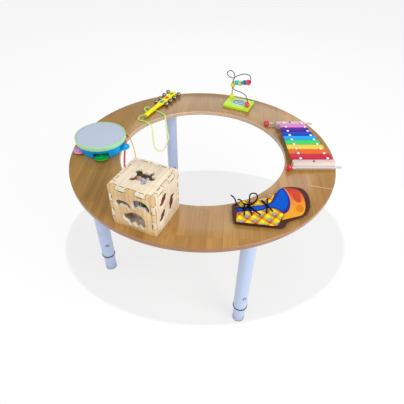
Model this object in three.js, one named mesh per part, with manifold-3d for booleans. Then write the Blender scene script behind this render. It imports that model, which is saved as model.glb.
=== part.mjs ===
// Baby activity table: a round ring table on four telescopic legs, with six toys standing on it.
// Millimetres, +Z up. The origin is the centre of the ring on the floor.
import * as THREE from 'three';
import { mergeVertices } from 'three/addons/utils/BufferGeometryUtils.js';
import Module from 'manifold-3d';

const wasm = await Module();
wasm.setup();

// Driving dimensions

// Shared by every piece
const seatGap = 0.3;            // between faces that rest on each other
const slideGap = 0.3;           // between a tube and what guides it
const overrun = 3;              // how far a cutter runs past the face that it cuts

// Ring
const ringDiameter = 1000;
const ringWidth = 185;          // from the opening's edge to the outer edge
const boardThickness = 18;
const boardEdgeRound = 3;
const tableHeight = 521;        // floor to the top of the ring
const ringSides = 72;

// Legs
const legCount = 4;
const firstLegAngle = 45;
const legInset = 20.5;          // a leg's axis is this far outside the board's middle circle
const outerTubeRadius = 26;
const outerTubeWall = 2;
const innerTubeRadius = 22.5;
const innerTubeWall = 2;
const flangeRadius = 50;
const flangeThickness = 3;
const flangeScrewCircle = 38;
const flangeScrewHole = 2.6;
const flangeScrews = 4;
const outerTubeBottom = 85;     // height of the outer tube's lower end
const bushHeight = 30;
const collarLip = 1.8;          // the collar stands this far out of the tube
const collarHeight = 4;
const innerTubeTop = 330;
const footRadius = 23.5;
const footHeight = 10;
const footPlugHeight = 16;
const footEdge = 2;
const legSides = 20;
const legRetract = 60;          // how far a leg shortens
const legExtend = 130;          // how far a leg lengthens

// Lock buttons
const buttonHeight = 158;       // above the floor
const buttonFacing = -45;       // all four buttons face the same way
const buttonRadius = 4.2;
const buttonDomeOut = 1.6;
const buttonDome = 1.2;
const buttonFlangeRadius = 7.5;
const buttonFlangeThickness = 2.5;
const buttonFlangeRoom = 3.5;   // from the flange to the inner tube's wall
const buttonSides = 10;

// Hand drum with five jingles
const drumAt = { inset: -16.5, angle: 201.8, turn: 0 };
const drumTopRadius = 91;
const drumTaper = 8;            // the foot's radius is this much less than the top's
const drumWall = 3;
const drumHeight = 56;
const hoopWall = 3.5;
const hoopLipWidth = 5;
const hoopDepth = 16;
const hoopLip = 1.5;
const hoopRound = 1.6;
const skinThickness = 1;
const drumSides = 40;
const jingleCount = 5;
const jingleFirstAngle = 15.6;
const jingleRadius = 25;
const jingleHubRadius = 9;
const jingleHubHeight = 9;
const jingleEdge = 2.6;
const jinglePinRadius = 1.8;
const jingleBoreGap = 0.5;
const jingleSlotHeight = 22;
const jingleSlotBottom = 5;
const jingleSlotSide = 3;
const jingleSides = 14;
const drumCordHoleAngle = 51;
const drumCordHoleHeight = 14;
const drumCordHoleRadius = 6.2;

// Jingle stick
const stickAt = { inset: -55.1, angle: 159.14, turn: -1.73 };
const stickLength = 256;
const stickThickness = 9;
const stickHandleWidth = 20;
const stickWaistWidth = 17;
const stickHeadWidth = 29;
const stickWaistShare = 0.3;
const stickHeadShare = 0.5;
const stickRound = 2;
const stickCurveSteps = 5;
const bellRadius = 10.5;
const bellOffset = 28;
const bellNeck = 2.6;
const bellWireRadius = 1.3;
const bellWireGap = 0.5;
const bellPairs = 4;
const bellInset = 12;           // from the stick's far end to the last pair of bells
const bellPitch = 36.7;
const bellSides = 10;
const bellWireSides = 6;
const eyeRadius = 5.8;
const eyeWireRadius = 1.5;
const eyeReach = 9;
const eyeShank = 14;
const eyeSides = 12;
const eyeWireSides = 6;
const eyeShankSides = 8;

// Bead maze
const mazeAt = { inset: 4.5, angle: 90.6, turn: 0 };
const mazeLength = 122;
const mazeWidth = 90;
const mazeThickness = 13;
const mazeCorner = 5;
const mazeEdge = 1.5;
const mazeCornerSteps = 3;
const mazeDisc = { x: 2, y: 4, across: 66, deep: 46, depth: 0.8 };
const mazeDiscSteps = 16;
const mazeLeftFoot = { x: -46, y: 28 };
const mazeRightFoot = { x: 48, y: -24 };
const wireHeight = 147;
const wireRadius = 1.5;
const wireFootGap = 0.3;
const wireFootDepth = 9;
const wireSteps = 72;
const wireSides = 6;
const mazeBeadRadius = 11;
const mazeBallRadius = 12;
const mazeBeadSides = 12;
const mazeBoreSides = 8;

// Xylophone
const xyloAt = { inset: -13.3, angle: 30.4, turn: 25.7 };
const barCount = 8;
const barWidth = 28;
const barPitch = 31.6;
const barThickness = 6;
const longestBar = 152;
const shortestBar = 108;
const barLeftEnd = -73.5;       // the bars' left ends stand in one line
const barRound = 1.2;
const barCorner = 3;
const barsNearEdge = -127.4;
const blockDepth = 26;
const blockHeight = 28;
const railTop = 26;
const nearBlock = { left: -68, right: 85, front: -155 };
const farBlock = { left: -79, right: 29, front: 128 };
const blockSlope = 7;
const blockSlopeHeight = 17;
const blockRound = 1;
const railWidth = 12;
const railBottom = 5;
const leftRail = { near: -39.5, far: -53 };
const rightRail = { near: 60, far: 20.5 };
const railInBlock = 6;
const pinRadius = 1.35;
const pinHeadRadius = 5.4;
const pinHeadHeight = 3.4;
const pinSides = 6;
const malletBallRadius = 11.7;
const malletStickRadius = 4.1;
const malletReach = 195;        // from the ball's centre to the stick's tip
const malletGroove = 1.6;       // how deep the stick lies in the block
const nearMalletBall = -84;
const farMalletBall = -118;
const malletSides = 12;

// Lacing shoe
const shoeAt = { inset: -6.7, angle: -33.3, turn: 30 };
const shoeLength = 263;
const shoeWidth = 184;
const shoeLeft = -123.7;        // from the shoe's own origin
const shoeFront = -84.8;
const shoeThickness = 10;
const shoeEdge = 1.2;
const laceDiameter = 4.4;
const laceHoleRadius = 3;
const laceHoleSides = 8;
const laceSides = 6;

// Shape sorting cube
const cubeAt = { inset: -8.9, angle: -91.5, turn: 0 };
const cubeSide = 149;
const cubeWall = 10;
const lidPlay = 0.3;
const blockGapAbove = 0.6;
const sorterCut = 14;           // the cutters' depth, over the wall's thickness
const ovalSteps = 7;

// Cords
const strapDiameter = 5;
const strapGrid = 10;           // the step in which the straps' routes are counted
const strapSteps = 64;
const strapSides = 8;
const splineTension = 0.5;

// Materials

const paint = (name, color, roughness, metalness = 0) =>
  new THREE.MeshStandardMaterial({ name, color, roughness, metalness });

const beech = paint('beech', 0xba915d, 0.35);
const tubeEnamel = paint('tube_enamel', 0xc3d0ea, 0.4, 0.2);
const darkRubber = paint('dark_rubber', 0x1c2233, 0.7);
const skinFilm = paint('drum_skin', 0xbfc8d8, 0.5);
const hoopGreen = paint('hoop_green', 0xa6dca0, 0.35);
const shellBlue = paint('shell_blue', 0x0090dc, 0.35);
const jingleColors = [0x00b0ee, 0xf0c020, 0xe86a2a, 0xefa0dc, 0x08b050];
const strapOrange = paint('strap_orange', 0xd9582a, 0.8);
const strapGreen = paint('strap_green', 0x8fe06a, 0.8);
const stickYellow = paint('stick_yellow', 0xffec00, 0.35);
const bellMetal = paint('bell_metal', 0xb8b4ae, 0.25, 0.9);
const mazeGreen = paint('maze_green', 0xb9f046, 0.4);
const mazeWire = paint('maze_wire', 0x3c3b3a, 0.4, 0.4);
const frameWood = paint('frame_wood', 0xe6dbd4, 0.55);
const barColors = [0xc92a48, 0xde6c30, 0xe6cd55, 0x46d068, 0x0aa6e6, 0x0a4cc0, 0x521aa2, 0xdb84c8];
const malletRed = paint('mallet_red', 0xd02036, 0.3);
const shoeBoard = paint('shoe_board', 0xe8b040, 0.5);
const laceBlack = paint('lace_black', 0x101010, 0.8);
const pinePly = paint('pine_ply', 0xe0cba4, 0.6);

// Solids

const degrees = THREE.MathUtils.degToRad;

function solidOf(geometry) {
  const bare = geometry.clone();
  for (const name of Object.keys(bare.attributes)) {
    if (name !== 'position') bare.deleteAttribute(name);
  }
  const merged = mergeVertices(bare);
  const spots = merged.attributes.position.array;
  const corners = [];
  const a = new THREE.Vector3();
  const b = new THREE.Vector3();
  const c = new THREE.Vector3();
  let volume = 0;
  for (let i = 0; i < merged.index.count; i += 3) {
    const [p, q, r] = [0, 1, 2].map((k) => merged.index.getX(i + k));
    if (p === q || q === r || r === p) continue;
    corners.push(p, q, r);
    a.fromArray(spots, p * 3);
    b.fromArray(spots, q * 3);
    c.fromArray(spots, r * 3);
    volume += a.dot(b.cross(c));
  }
  if (volume < 0) corners.reverse();
  return new wasm.Manifold(new wasm.Mesh({
    numProp: 3,
    vertProperties: new Float32Array(spots),
    triVerts: new Uint32Array(corners),
  }));
}

function geometryOf(solid) {
  const mesh = solid.getMesh();
  const geometry = new THREE.BufferGeometry();
  geometry.setAttribute('position', new THREE.BufferAttribute(mesh.vertProperties, 3));
  geometry.setIndex(new THREE.BufferAttribute(mesh.triVerts, 1));
  geometry.computeVertexNormals();
  return geometry;
}

const join = (solids) => solids.reduce((whole, piece) => whole.add(piece));
const cut = (solid, cutters) => cutters.reduce((rest, cutter) => rest.subtract(cutter), solid);

// Turns a closed profile of [radius, height] points about the Z axis.
function turned(profile, sides) {
  const points = profile.map(([radius, height]) => new THREE.Vector2(radius, height));
  if (profile[0][0] > 0) points.push(points[0].clone());
  return solidOf(new THREE.LatheGeometry(points, sides).rotateX(Math.PI / 2));
}

function rod(radius, bottom, top, sides) {
  return turned([[0, bottom], [radius, bottom], [radius, top], [0, top]], sides);
}

function ball(radius, sides) {
  return solidOf(new THREE.SphereGeometry(radius, sides, Math.ceil(sides / 2)));
}

function bar(low, high) {
  const size = new THREE.Vector3().subVectors(high, low);
  const middle = new THREE.Vector3().addVectors(low, high).divideScalar(2);
  return solidOf(new THREE.BoxGeometry(size.x, size.y, size.z).translate(middle.x, middle.y, middle.z));
}

const at = (x, y, z) => new THREE.Vector3(x, y, z);

// A flat plate of an outline, its long edges rounded over by edge. Arcs and curves of the outline
// are drawn in curveSegments steps.
function plate(shape, bottom, thickness, edge, curveSegments = 1) {
  const options = { depth: thickness - 2 * edge, bevelEnabled: edge > 0, curveSegments };
  if (edge > 0) {
    Object.assign(options, { bevelThickness: edge, bevelSize: edge, bevelOffset: -edge, bevelSegments: 1 });
  }
  return solidOf(new THREE.ExtrudeGeometry(shape, options).translate(0, 0, bottom + edge));
}

function roundedRectangle(left, right, front, back, corner) {
  const shape = new THREE.Shape();
  const turn = Math.PI / 2;
  shape.absarc(right - corner, front + corner, corner, -turn, 0);
  shape.absarc(right - corner, back - corner, corner, 0, turn);
  shape.absarc(left + corner, back - corner, corner, turn, 2 * turn);
  shape.absarc(left + corner, front + corner, corner, 2 * turn, 3 * turn);
  shape.closePath();
  return shape;
}

// A round tube along a smooth curve, with square ends.
function tubeAlong(points, radius, steps, sides, tension) {
  const path = new THREE.CatmullRomCurve3(points, false, 'catmullrom', tension);
  const section = new THREE.Shape();
  for (let i = 0; i < sides; i += 1) {
    const angle = (2 * Math.PI * i) / sides;
    const [x, y] = [radius * Math.cos(angle), radius * Math.sin(angle)];
    if (i === 0) section.moveTo(x, y);
    else section.lineTo(x, y);
  }
  section.closePath();
  return solidOf(new THREE.ExtrudeGeometry(section, { steps, extrudePath: path }));
}

// Turns a solid that points along +Z to point along another direction, and moves it.
function aimed(solid, place, direction) {
  const turn = new THREE.Quaternion().setFromUnitVectors(at(0, 0, 1), direction.clone().normalize());
  const matrix = new THREE.Matrix4().compose(place, turn, at(1, 1, 1));
  return solid.transform(matrix.toArray());
}

const moved = (solid, x, y, z) => solid.translate([x, y, z]);
const spun = (solid, angle) => solid.rotate([0, 0, angle]);

const table = new THREE.Group();

function place(parent, name, solid, material) {
  const mesh = new THREE.Mesh(geometryOf(solid), material);
  mesh.name = name;
  parent.add(mesh);
  return mesh;
}

const openingRadius = ringDiameter / 2 - ringWidth;
const middleRadius = ringDiameter / 2 - ringWidth / 2;

// A toy's group stands on the ring, inset from the circle along the middle of the board.
function standOnRing(where) {
  const toy = new THREE.Group();
  const radius = middleRadius + where.inset;
  const angle = degrees(where.angle);
  toy.position.set(radius * Math.cos(angle), radius * Math.sin(angle), tableHeight);
  toy.rotation.z = degrees(where.turn);
  toy.updateMatrix();
  table.add(toy);
  return toy;
}

// Ring

function makeRing() {
  const [inner, outer] = [openingRadius, ringDiameter / 2];
  const [low, high] = [tableHeight - boardThickness, tableHeight];
  const round = boardEdgeRound;
  return turned([
    [inner + round, low], [outer - round, low], [outer, low + round], [outer, high - round],
    [outer - round, high], [inner + round, high], [inner, high - round], [inner, low + round],
  ], ringSides);
}

place(table, 'table_ring', makeRing(), beech);

// Legs

const flangeTop = tableHeight - boardThickness - seatGap;
const flangeBottom = flangeTop - flangeThickness;
const outerBore = outerTubeRadius - outerTubeWall;
const bushBore = innerTubeRadius + slideGap;
const collarRadius = outerTubeRadius + collarLip;
const innerBore = innerTubeRadius - innerTubeWall;
const innerTubeBottom = footHeight + seatGap;
const buttonHoleRadius = buttonRadius + slideGap;
const buttonFlangeFace = innerBore - buttonFlangeRoom;

function makeOuterTube() {
  const collarTop = outerTubeBottom + collarHeight;
  const bushTop = outerTubeBottom + bushHeight;
  const tube = turned([
    [0, flangeTop], [flangeRadius, flangeTop], [flangeRadius, flangeBottom],
    [outerTubeRadius, flangeBottom], [outerTubeRadius, collarTop], [collarRadius, collarTop],
    [collarRadius, outerTubeBottom], [bushBore, outerTubeBottom], [bushBore, bushTop],
    [outerBore, bushTop], [outerBore, flangeBottom], [0, flangeBottom],
  ], legSides);
  const holes = [];
  for (let i = 0; i < flangeScrews; i += 1) {
    const hole = rod(flangeScrewHole, flangeBottom - overrun, flangeTop + overrun, buttonSides);
    holes.push(spun(moved(hole, flangeScrewCircle, 0, 0), (360 * (i + 1 / 2)) / flangeScrews));
  }
  const reach = outerTubeRadius + overrun;
  const buttonHole = aimed(rod(buttonHoleRadius, 0, reach, buttonSides), at(0, 0, buttonHeight), at(1, 0, 0));
  return cut(tube, [...holes, spun(buttonHole, buttonFacing)]);
}

// The inner tube has a keyway, in which the button's stem runs at every height of the leg.
function makeInnerTube() {
  const tube = turned([
    [innerBore, innerTubeBottom], [innerTubeRadius, innerTubeBottom],
    [innerTubeRadius, innerTubeTop], [innerBore, innerTubeTop],
  ], legSides);
  const half = buttonRadius + 2 * slideGap;
  const slotBottom = buttonHeight - legRetract - 2 * buttonRadius;
  const slotTop = buttonHeight + legExtend + 2 * buttonRadius;
  const slot = bar(at(0, -half, slotBottom), at(innerTubeRadius + overrun, half, slotTop));
  return cut(tube, [spun(slot, buttonFacing)]);
}

function makeFoot() {
  const plug = innerBore - slideGap;
  return turned([
    [0, 0], [footRadius - footEdge, 0], [footRadius, footEdge], [footRadius, footHeight],
    [plug, footHeight], [plug, footHeight + footPlugHeight], [0, footHeight + footPlugHeight],
  ], legSides);
}

function makeButton() {
  const face = outerTubeRadius + buttonDomeOut;
  const flangeBack = buttonFlangeFace - buttonFlangeThickness;
  const stem = turned([
    [0, flangeBack], [buttonFlangeRadius, flangeBack], [buttonFlangeRadius, buttonFlangeFace],
    [buttonRadius, buttonFlangeFace], [buttonRadius, face - buttonDome],
    [buttonRadius - buttonDome, face], [0, face],
  ], buttonSides);
  return spun(aimed(stem, at(0, 0, buttonHeight), at(1, 0, 0)), buttonFacing);
}

const legNames = ['back_right', 'back_left', 'front_left', 'front_right'];
for (let i = 0; i < legCount; i += 1) {
  const angle = degrees(firstLegAngle + (360 * i) / legCount);
  const leg = new THREE.Group();
  const radius = middleRadius + legInset;
  leg.position.set(radius * Math.cos(angle), radius * Math.sin(angle), 0);
  table.add(leg);
  place(leg, `outer_tube_${legNames[i]}`, makeOuterTube(), tubeEnamel);
  place(leg, `inner_tube_${legNames[i]}`, makeInnerTube(), tubeEnamel);
  place(leg, `foot_${legNames[i]}`, makeFoot(), darkRubber);
  place(leg, `lock_button_${legNames[i]}`, makeButton(), tubeEnamel);
}

// Hand drum

const drum = standOnRing(drumAt);
const shellTop = drumHeight - hoopLip - 2 * seatGap - skinThickness;
const hoopBottom = drumHeight - hoopDepth;
const jingleSlotTop = jingleSlotBottom + jingleSlotHeight;
const drumBottomRadius = drumTopRadius - drumTaper;
const hoopRadius = drumTopRadius + seatGap + hoopWall;
const hoopOpening = hoopRadius - hoopLipWidth;
const drumFlare = drumTaper / hoopBottom;
const drumRadiusAt = (height) => drumBottomRadius + drumFlare * height;
const jinglePinCircle = drumRadiusAt((jingleSlotBottom + jingleSlotTop) / 2) - drumWall / 2;

function makeDrumShell() {
  const shell = turned([
    [drumBottomRadius - drumWall, seatGap], [drumBottomRadius, seatGap],
    [drumTopRadius, hoopBottom], [drumTopRadius, shellTop],
    [drumTopRadius - drumWall, shellTop], [drumTopRadius - drumWall, hoopBottom],
  ], drumSides);
  const half = jingleRadius + jingleSlotSide;
  const slots = [];
  const pins = [];
  for (let i = 0; i < jingleCount; i += 1) {
    const angle = jingleFirstAngle + (360 * i) / jingleCount;
    const low = at(drumBottomRadius - jingleRadius, -half, jingleSlotBottom);
    const high = at(hoopRadius + overrun, half, jingleSlotTop);
    slots.push(spun(bar(low, high), angle));
    const pin = rod(jinglePinRadius, jingleSlotBottom - overrun, jingleSlotTop + overrun, buttonSides);
    pins.push(spun(moved(pin, jinglePinCircle, 0, 0), angle));
  }
  const hole = rod(drumCordHoleRadius, drumBottomRadius - 2 * drumWall, drumTopRadius + overrun, buttonSides);
  const cordHole = spun(aimed(hole, at(0, 0, drumCordHoleHeight), at(1, 0, 0)), drumCordHoleAngle);
  return join([cut(shell, [...slots, cordHole]), ...pins]);
}

function makeHoop() {
  const sleeve = drumTopRadius + seatGap;
  const lipBottom = drumHeight - hoopLip;
  return turned([
    [sleeve, hoopBottom], [hoopRadius, hoopBottom], [hoopRadius, drumHeight - hoopRound],
    [hoopRadius - hoopRound, drumHeight], [hoopOpening, drumHeight], [hoopOpening, lipBottom],
    [sleeve, lipBottom],
  ], drumSides);
}

function makeSkin() {
  const bottom = shellTop + seatGap;
  return rod(drumTopRadius, bottom, bottom + skinThickness, drumSides);
}

function makeJingle(i) {
  const [bore, half] = [jinglePinRadius + jingleBoreGap, jingleHubHeight / 2];
  const edge = jingleEdge / 2;
  const disc = turned([
    [bore, -half], [jingleHubRadius, -half], [jingleRadius, -edge],
    [jingleRadius, edge], [jingleHubRadius, half], [bore, half],
  ], jingleSides);
  const height = jingleSlotBottom + seatGap + half;
  return spun(moved(disc, jinglePinCircle, 0, height), jingleFirstAngle + (360 * i) / jingleCount);
}

place(drum, 'drum_shell', makeDrumShell(), shellBlue);
place(drum, 'drum_hoop', makeHoop(), hoopGreen);
place(drum, 'drum_skin', makeSkin(), skinFilm);
for (let i = 0; i < jingleCount; i += 1) {
  place(drum, `drum_jingle_${i + 1}`, makeJingle(i), paint(`jingle_${i + 1}`, jingleColors[i], 0.35));
}

// The straps' routes are drawn on a grid, with points counted in its steps. A frame is a place,
// and the direction in which its first axis points. Its second axis lies to the left of that.
function routeIn(frame, steps) {
  const turn = degrees(frame.turn);
  const [cos, sin] = [Math.cos(turn), Math.sin(turn)];
  return steps.map(([x, y, z]) => at(x * cos - y * sin, x * sin + y * cos, z)
    .multiplyScalar(strapGrid).add(frame.place));
}

function openingEdgeAt(angle) {
  const [x, y] = [openingRadius * Math.cos(degrees(angle)), openingRadius * Math.sin(degrees(angle))];
  return { place: at(x, y, tableHeight), turn: angle };
}

const onToy = (toy, x, y, z) => at(x, y, z).applyMatrix4(toy.matrix);

function makeStrap(points) {
  return tubeAlong(points, strapDiameter / 2, strapSteps, strapSides, splineTension);
}

// The drum's strap comes out of the shell's hole, hangs down through the ring's opening, comes
// back over its edge and ends behind the drum.
const drumHoleRadius = drumRadiusAt(drumCordHoleHeight);
const drumHoleFrame = {
  place: onToy(drum, drumHoleRadius * Math.cos(degrees(drumCordHoleAngle)),
    drumHoleRadius * Math.sin(degrees(drumCordHoleAngle)), drumCordHoleHeight),
  turn: drumCordHoleAngle + drumAt.turn,
};
const drumStrapAtHole = [[-0.85, 0, 0], [0, 0, 0], [0.56, -0.13, -0.5]];
const drumStrapAtEdge = [
  [-0.79, -3.45, -0.5], [-0.75, -0.67, -2], [-0.99, 2.23, -3.8], [-1.27, 4.49, -6.2],
  [-1.79, 4.27, -9], [-2.64, 1.6, -11.8], [-3.29, -1.37, -12.4], [-3.7, -4.01, -10.8],
  [-3.48, -5.61, -7.8], [-2.87, -6.5, -4], [-2.33, -6.5, -1.2], [-1.94, -6.87, 0.1],
  [-0.66, -8.78, 0.34], [0.7, -10.51, 0.31], [2, -11.03, 0.31],
];
const drumStrapRoute = [
  ...routeIn(drumHoleFrame, drumStrapAtHole),
  ...routeIn(openingEdgeAt(drumAt.angle), drumStrapAtEdge),
];

place(table, 'drum_strap', makeStrap(drumStrapRoute), strapOrange);

// Jingle stick

const stick = standOnRing(stickAt);
const stickMiddle = bellRadius + seatGap;
const stickBottom = stickMiddle - stickThickness / 2;
const bellPlace = (i) => stickLength - bellInset - (bellPairs - 1 - i) * bellPitch;

function makeStick() {
  const [waist, head] = [stickWaistShare * stickLength, stickHeadShare * stickLength];
  const top = stickLength - stickHeadWidth / 2;
  const shape = new THREE.Shape();
  shape.moveTo(stickHandleWidth / 2, 0);
  shape.quadraticCurveTo(stickWaistWidth / 2, waist / 2, stickWaistWidth / 2, waist);
  shape.quadraticCurveTo(stickWaistWidth / 2, (waist + head) / 2, stickHeadWidth / 2, head);
  shape.lineTo(stickHeadWidth / 2, top);
  shape.absarc(0, top, stickHeadWidth / 2, 0, Math.PI);
  shape.lineTo(-stickHeadWidth / 2, head);
  shape.quadraticCurveTo(-stickWaistWidth / 2, (waist + head) / 2, -stickWaistWidth / 2, waist);
  shape.quadraticCurveTo(-stickWaistWidth / 2, waist / 2, -stickHandleWidth / 2, 0);
  shape.closePath();
  const blade = plate(shape, stickBottom, stickThickness, stickRound, stickCurveSteps);
  const wireHole = rod(bellWireRadius + bellWireGap, -stickHeadWidth, stickHeadWidth, buttonSides);
  const holes = [];
  for (let i = 0; i < bellPairs; i += 1) {
    holes.push(aimed(wireHole, at(0, bellPlace(i), stickMiddle), at(1, 0, 0)));
  }
  const shankHole = rod(eyeWireRadius + seatGap, -overrun, eyeShank + seatGap, buttonSides);
  holes.push(aimed(shankHole, at(0, 0, stickMiddle), at(0, 1, 0)));
  return cut(blade, holes);
}

// Two bells hang on one wire that goes through the stick.
function makeBellPair(i) {
  const reach = bellOffset - bellRadius / 2;
  const wire = rod(bellWireRadius, -reach, reach, bellWireSides);
  const solids = [aimed(wire, at(0, 0, 0), at(1, 0, 0))];
  for (const side of [-1, 1]) {
    const neckMiddle = side * (bellOffset - bellRadius);
    const neck = rod(bellNeck, neckMiddle - bellNeck, neckMiddle + bellNeck, bellWireSides);
    solids.push(moved(ball(bellRadius, bellSides), side * bellOffset, 0, 0));
    solids.push(aimed(neck, at(0, 0, 0), at(1, 0, 0)));
  }
  return moved(join(solids), 0, bellPlace(i), stickMiddle);
}

function makeEye() {
  const ring = solidOf(new THREE.TorusGeometry(eyeRadius, eyeWireRadius, eyeWireSides, eyeSides));
  const shankStart = -(eyeReach - eyeRadius);
  const shank = aimed(rod(eyeWireRadius, shankStart, eyeShank, eyeShankSides), at(0, 0, 0), at(0, 1, 0));
  return moved(join([moved(ring, 0, -eyeReach, 0), shank]), 0, 0, stickMiddle);
}

place(stick, 'jingle_stick', makeStick(), stickYellow);
for (let i = 0; i < bellPairs; i += 1) {
  place(stick, `bell_pair_${i + 1}`, makeBellPair(i), bellMetal);
}
place(stick, 'stick_eye', makeEye(), bellMetal);

// The stick's strap goes up through the eye, over the ring's edge, hangs, and comes back
// under the stick to the eye.
const eyeFrame = { place: onToy(stick, 0, -eyeReach, stickMiddle), turn: stickAt.turn };
const stickStrapFromEye = [
  [-0.03, -0.06, 0], [-0.1, -0.14, 0.45], [-0.38, -0.6, 0.82], [-1.3, -1.16, 0.6],
  [-1.96, -1.73, -0.15], [-1.51, -2.28, -0.72], [-0.34, -2.5, -0.77],
];
const stickStrapAtEdge = [
  [1.57, 2.54, 0.32], [0.54, 2.41, 0.34], [-0.35, 2.24, 0.15], [-1.2, 1.91, -0.6],
  [-2.23, 1.53, -1.9], [-2.48, 1.64, -5.3], [-2.52, 1.74, -8.3], [-2.44, 1.23, -11.4],
  [-2.25, -0.09, -14], [-2.08, -1.95, -15.6], [-1.87, -3.9, -16.1], [-1.63, -5.64, -15.3],
  [-1.53, -6.77, -13], [-1.41, -7.91, -10.7], [-1.47, -7.18, -7.6], [-1.53, -6.77, -4.1],
  [-1.47, -6.64, -1.5], [-1.24, -6.83, -0.35], [-0.79, -6.91, 0.42], [0.01, -7.15, 0.38],
  [0.97, -7.43, 0.32], [3.13, -7.45, 0.31],
];
const stickStrapToEye = [
  [1.28, 7.93, -0.77], [-0.52, 8.01, -0.77], [-2.42, 8.51, -0.77], [-4.12, 9.2, -0.77],
  [-5.02, 8.5, -0.77], [-4.71, 7.1, -0.77], [-3.5, 6.01, -0.77], [-1.84, 4.67, -0.77],
  [-0.54, 2.78, -0.77], [-0.07, 1.09, -0.77], [-0.04, 0.35, -0.68], [-0.03, -0.04, -0.42],
];
const stickStrapRoute = [
  ...routeIn(eyeFrame, stickStrapFromEye),
  ...routeIn(openingEdgeAt(stickAt.angle), stickStrapAtEdge),
  ...routeIn(eyeFrame, stickStrapToEye),
];

place(table, 'stick_strap', makeStrap(stickStrapRoute), strapGreen);

// Bead maze

const maze = standOnRing(mazeAt);
const mazeTop = seatGap + mazeThickness;
const [wireFootLeft, wireFootRight] = [mazeLeftFoot, mazeRightFoot];
const wireSpan = Math.hypot(wireFootRight.x - wireFootLeft.x, wireFootRight.y - wireFootLeft.y);
const wireAlong = at(wireFootRight.x - wireFootLeft.x, wireFootRight.y - wireFootLeft.y, 0)
  .divideScalar(wireSpan);
const wireAcross = at(-wireAlong.y, wireAlong.x, 0);

// The wire's points: share of the span along the base's diagonal, share across it towards the
// back, and share of the wire's height above the base.
const wireShares = [
  [0, 0, 0.07], [0, 0, 0.28], [-0.03, 0.01, 0.5], [-0.01, 0.03, 0.6], [0.05, 0.045, 0.68],
  [0.035, 0.045, 0.76], [-0.03, 0.04, 0.82], [-0.12, 0.035, 0.85], [-0.22, 0.03, 0.845],
  [-0.33, 0.02, 0.8], [-0.4, 0.01, 0.735], [-0.37, 0, 0.69], [-0.25, -0.02, 0.667],
  [-0.08, -0.035, 0.668], [0.054, -0.045, 0.69], [0.16, -0.04, 0.74], [0.254, -0.035, 0.796],
  [0.4, -0.03, 0.865], [0.562, -0.02, 0.932], [0.72, -0.01, 0.975], [0.87, 0, 0.993],
  [0.97, 0, 0.985], [1.045, -0.01, 0.95], [1.075, -0.02, 0.9], [1.05, -0.03, 0.845],
  [0.98, -0.035, 0.795], [0.88, -0.04, 0.762], [0.767, -0.045, 0.735], [0.64, -0.05, 0.69],
  [0.521, -0.055, 0.653], [0.42, -0.06, 0.63], [0.329, -0.06, 0.62], [0.25, -0.065, 0.627],
  [0.18, -0.07, 0.63], [0.13, -0.075, 0.595], [0.115, -0.08, 0.53], [0.12, -0.08, 0.45],
  [0.14, -0.08, 0.4], [0.2, -0.075, 0.37], [0.329, -0.06, 0.361], [0.5, -0.04, 0.372],
  [0.65, -0.025, 0.374], [0.8, -0.01, 0.355], [0.9, 0, 0.31], [0.96, 0, 0.25], [1, 0, 0.16],
  [1, 0, 0.07],
];

const wirePoint = ([along, across, up]) => at(wireFootLeft.x, wireFootLeft.y, mazeTop + up * wireHeight)
  .addScaledVector(wireAlong, along * wireSpan)
  .addScaledVector(wireAcross, across * wireSpan);

const wireRoute = [
  at(wireFootLeft.x, wireFootLeft.y, mazeTop - wireFootDepth + seatGap),
  ...wireShares.map(wirePoint),
  at(wireFootRight.x, wireFootRight.y, mazeTop - wireFootDepth + seatGap),
];
const wireCurve = new THREE.CatmullRomCurve3(wireRoute, false, 'catmullrom', splineTension);

function makeMazeBase() {
  const [half, depth] = [mazeLength / 2, mazeWidth / 2];
  const outline = roundedRectangle(-half, half, -depth, depth, mazeCorner);
  const block = plate(outline, seatGap, mazeThickness, mazeEdge, mazeCornerSteps);
  const hole = rod(wireRadius + wireFootGap, mazeTop - wireFootDepth, mazeTop + overrun, buttonSides);
  const holes = [wireFootLeft, wireFootRight].map((foot) => moved(hole, foot.x, foot.y, 0));
  const disc = new THREE.Shape();
  disc.absellipse(mazeDisc.x, mazeDisc.y, mazeDisc.across / 2, mazeDisc.deep / 2, 0, 2 * Math.PI);
  const recess = plate(disc, mazeTop - mazeDisc.depth, mazeDisc.depth + overrun, 0, mazeDiscSteps);
  return cut(block, [...holes, recess]);
}

function makeMazeWire() {
  return tubeAlong(wireRoute, wireRadius, wireSteps, wireSides, splineTension);
}

// A bead threaded on the curved wire has a bore that leaves room for the wire's bend. One that
// has slid down to a straight foot of the wire rests on the base.
function makeBead({ radius, bore, share, foot }) {
  const round = ball(radius, mazeBeadSides).rotate([90, 0, 0]);
  const bead = cut(round, [rod(bore, -2 * radius, 2 * radius, mazeBoreSides)]);
  if (foot) return moved(bead, foot.x, foot.y, mazeTop + seatGap - bead.boundingBox().min[2]);
  return aimed(bead, wireCurve.getPointAt(share), wireCurve.getTangentAt(share));
}

const beads = [
  { name: 'bead_yellow_low', color: 0xf4e81c, radius: mazeBeadRadius, bore: 2.3, foot: wireFootLeft },
  { name: 'bead_red_ball', color: 0xe03a52, radius: mazeBallRadius, bore: 4.2, share: 0.5885 },
  { name: 'bead_blue', color: 0x1c86c8, radius: mazeBeadRadius, bore: 3, share: 0.6245 },
  { name: 'bead_pale_green', color: 0xbde87c, radius: mazeBeadRadius, bore: 2.8, share: 0.667 },
  { name: 'bead_cyan', color: 0x18d8e0, radius: mazeBeadRadius, bore: 3.8, share: 0.7015 },
  { name: 'bead_yellow_high', color: 0xf4e81c, radius: mazeBeadRadius, bore: 3, share: 0.76 },
  { name: 'bead_red_low', color: 0xee4a50, radius: mazeBallRadius, bore: 2.3, foot: wireFootRight },
];

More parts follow.
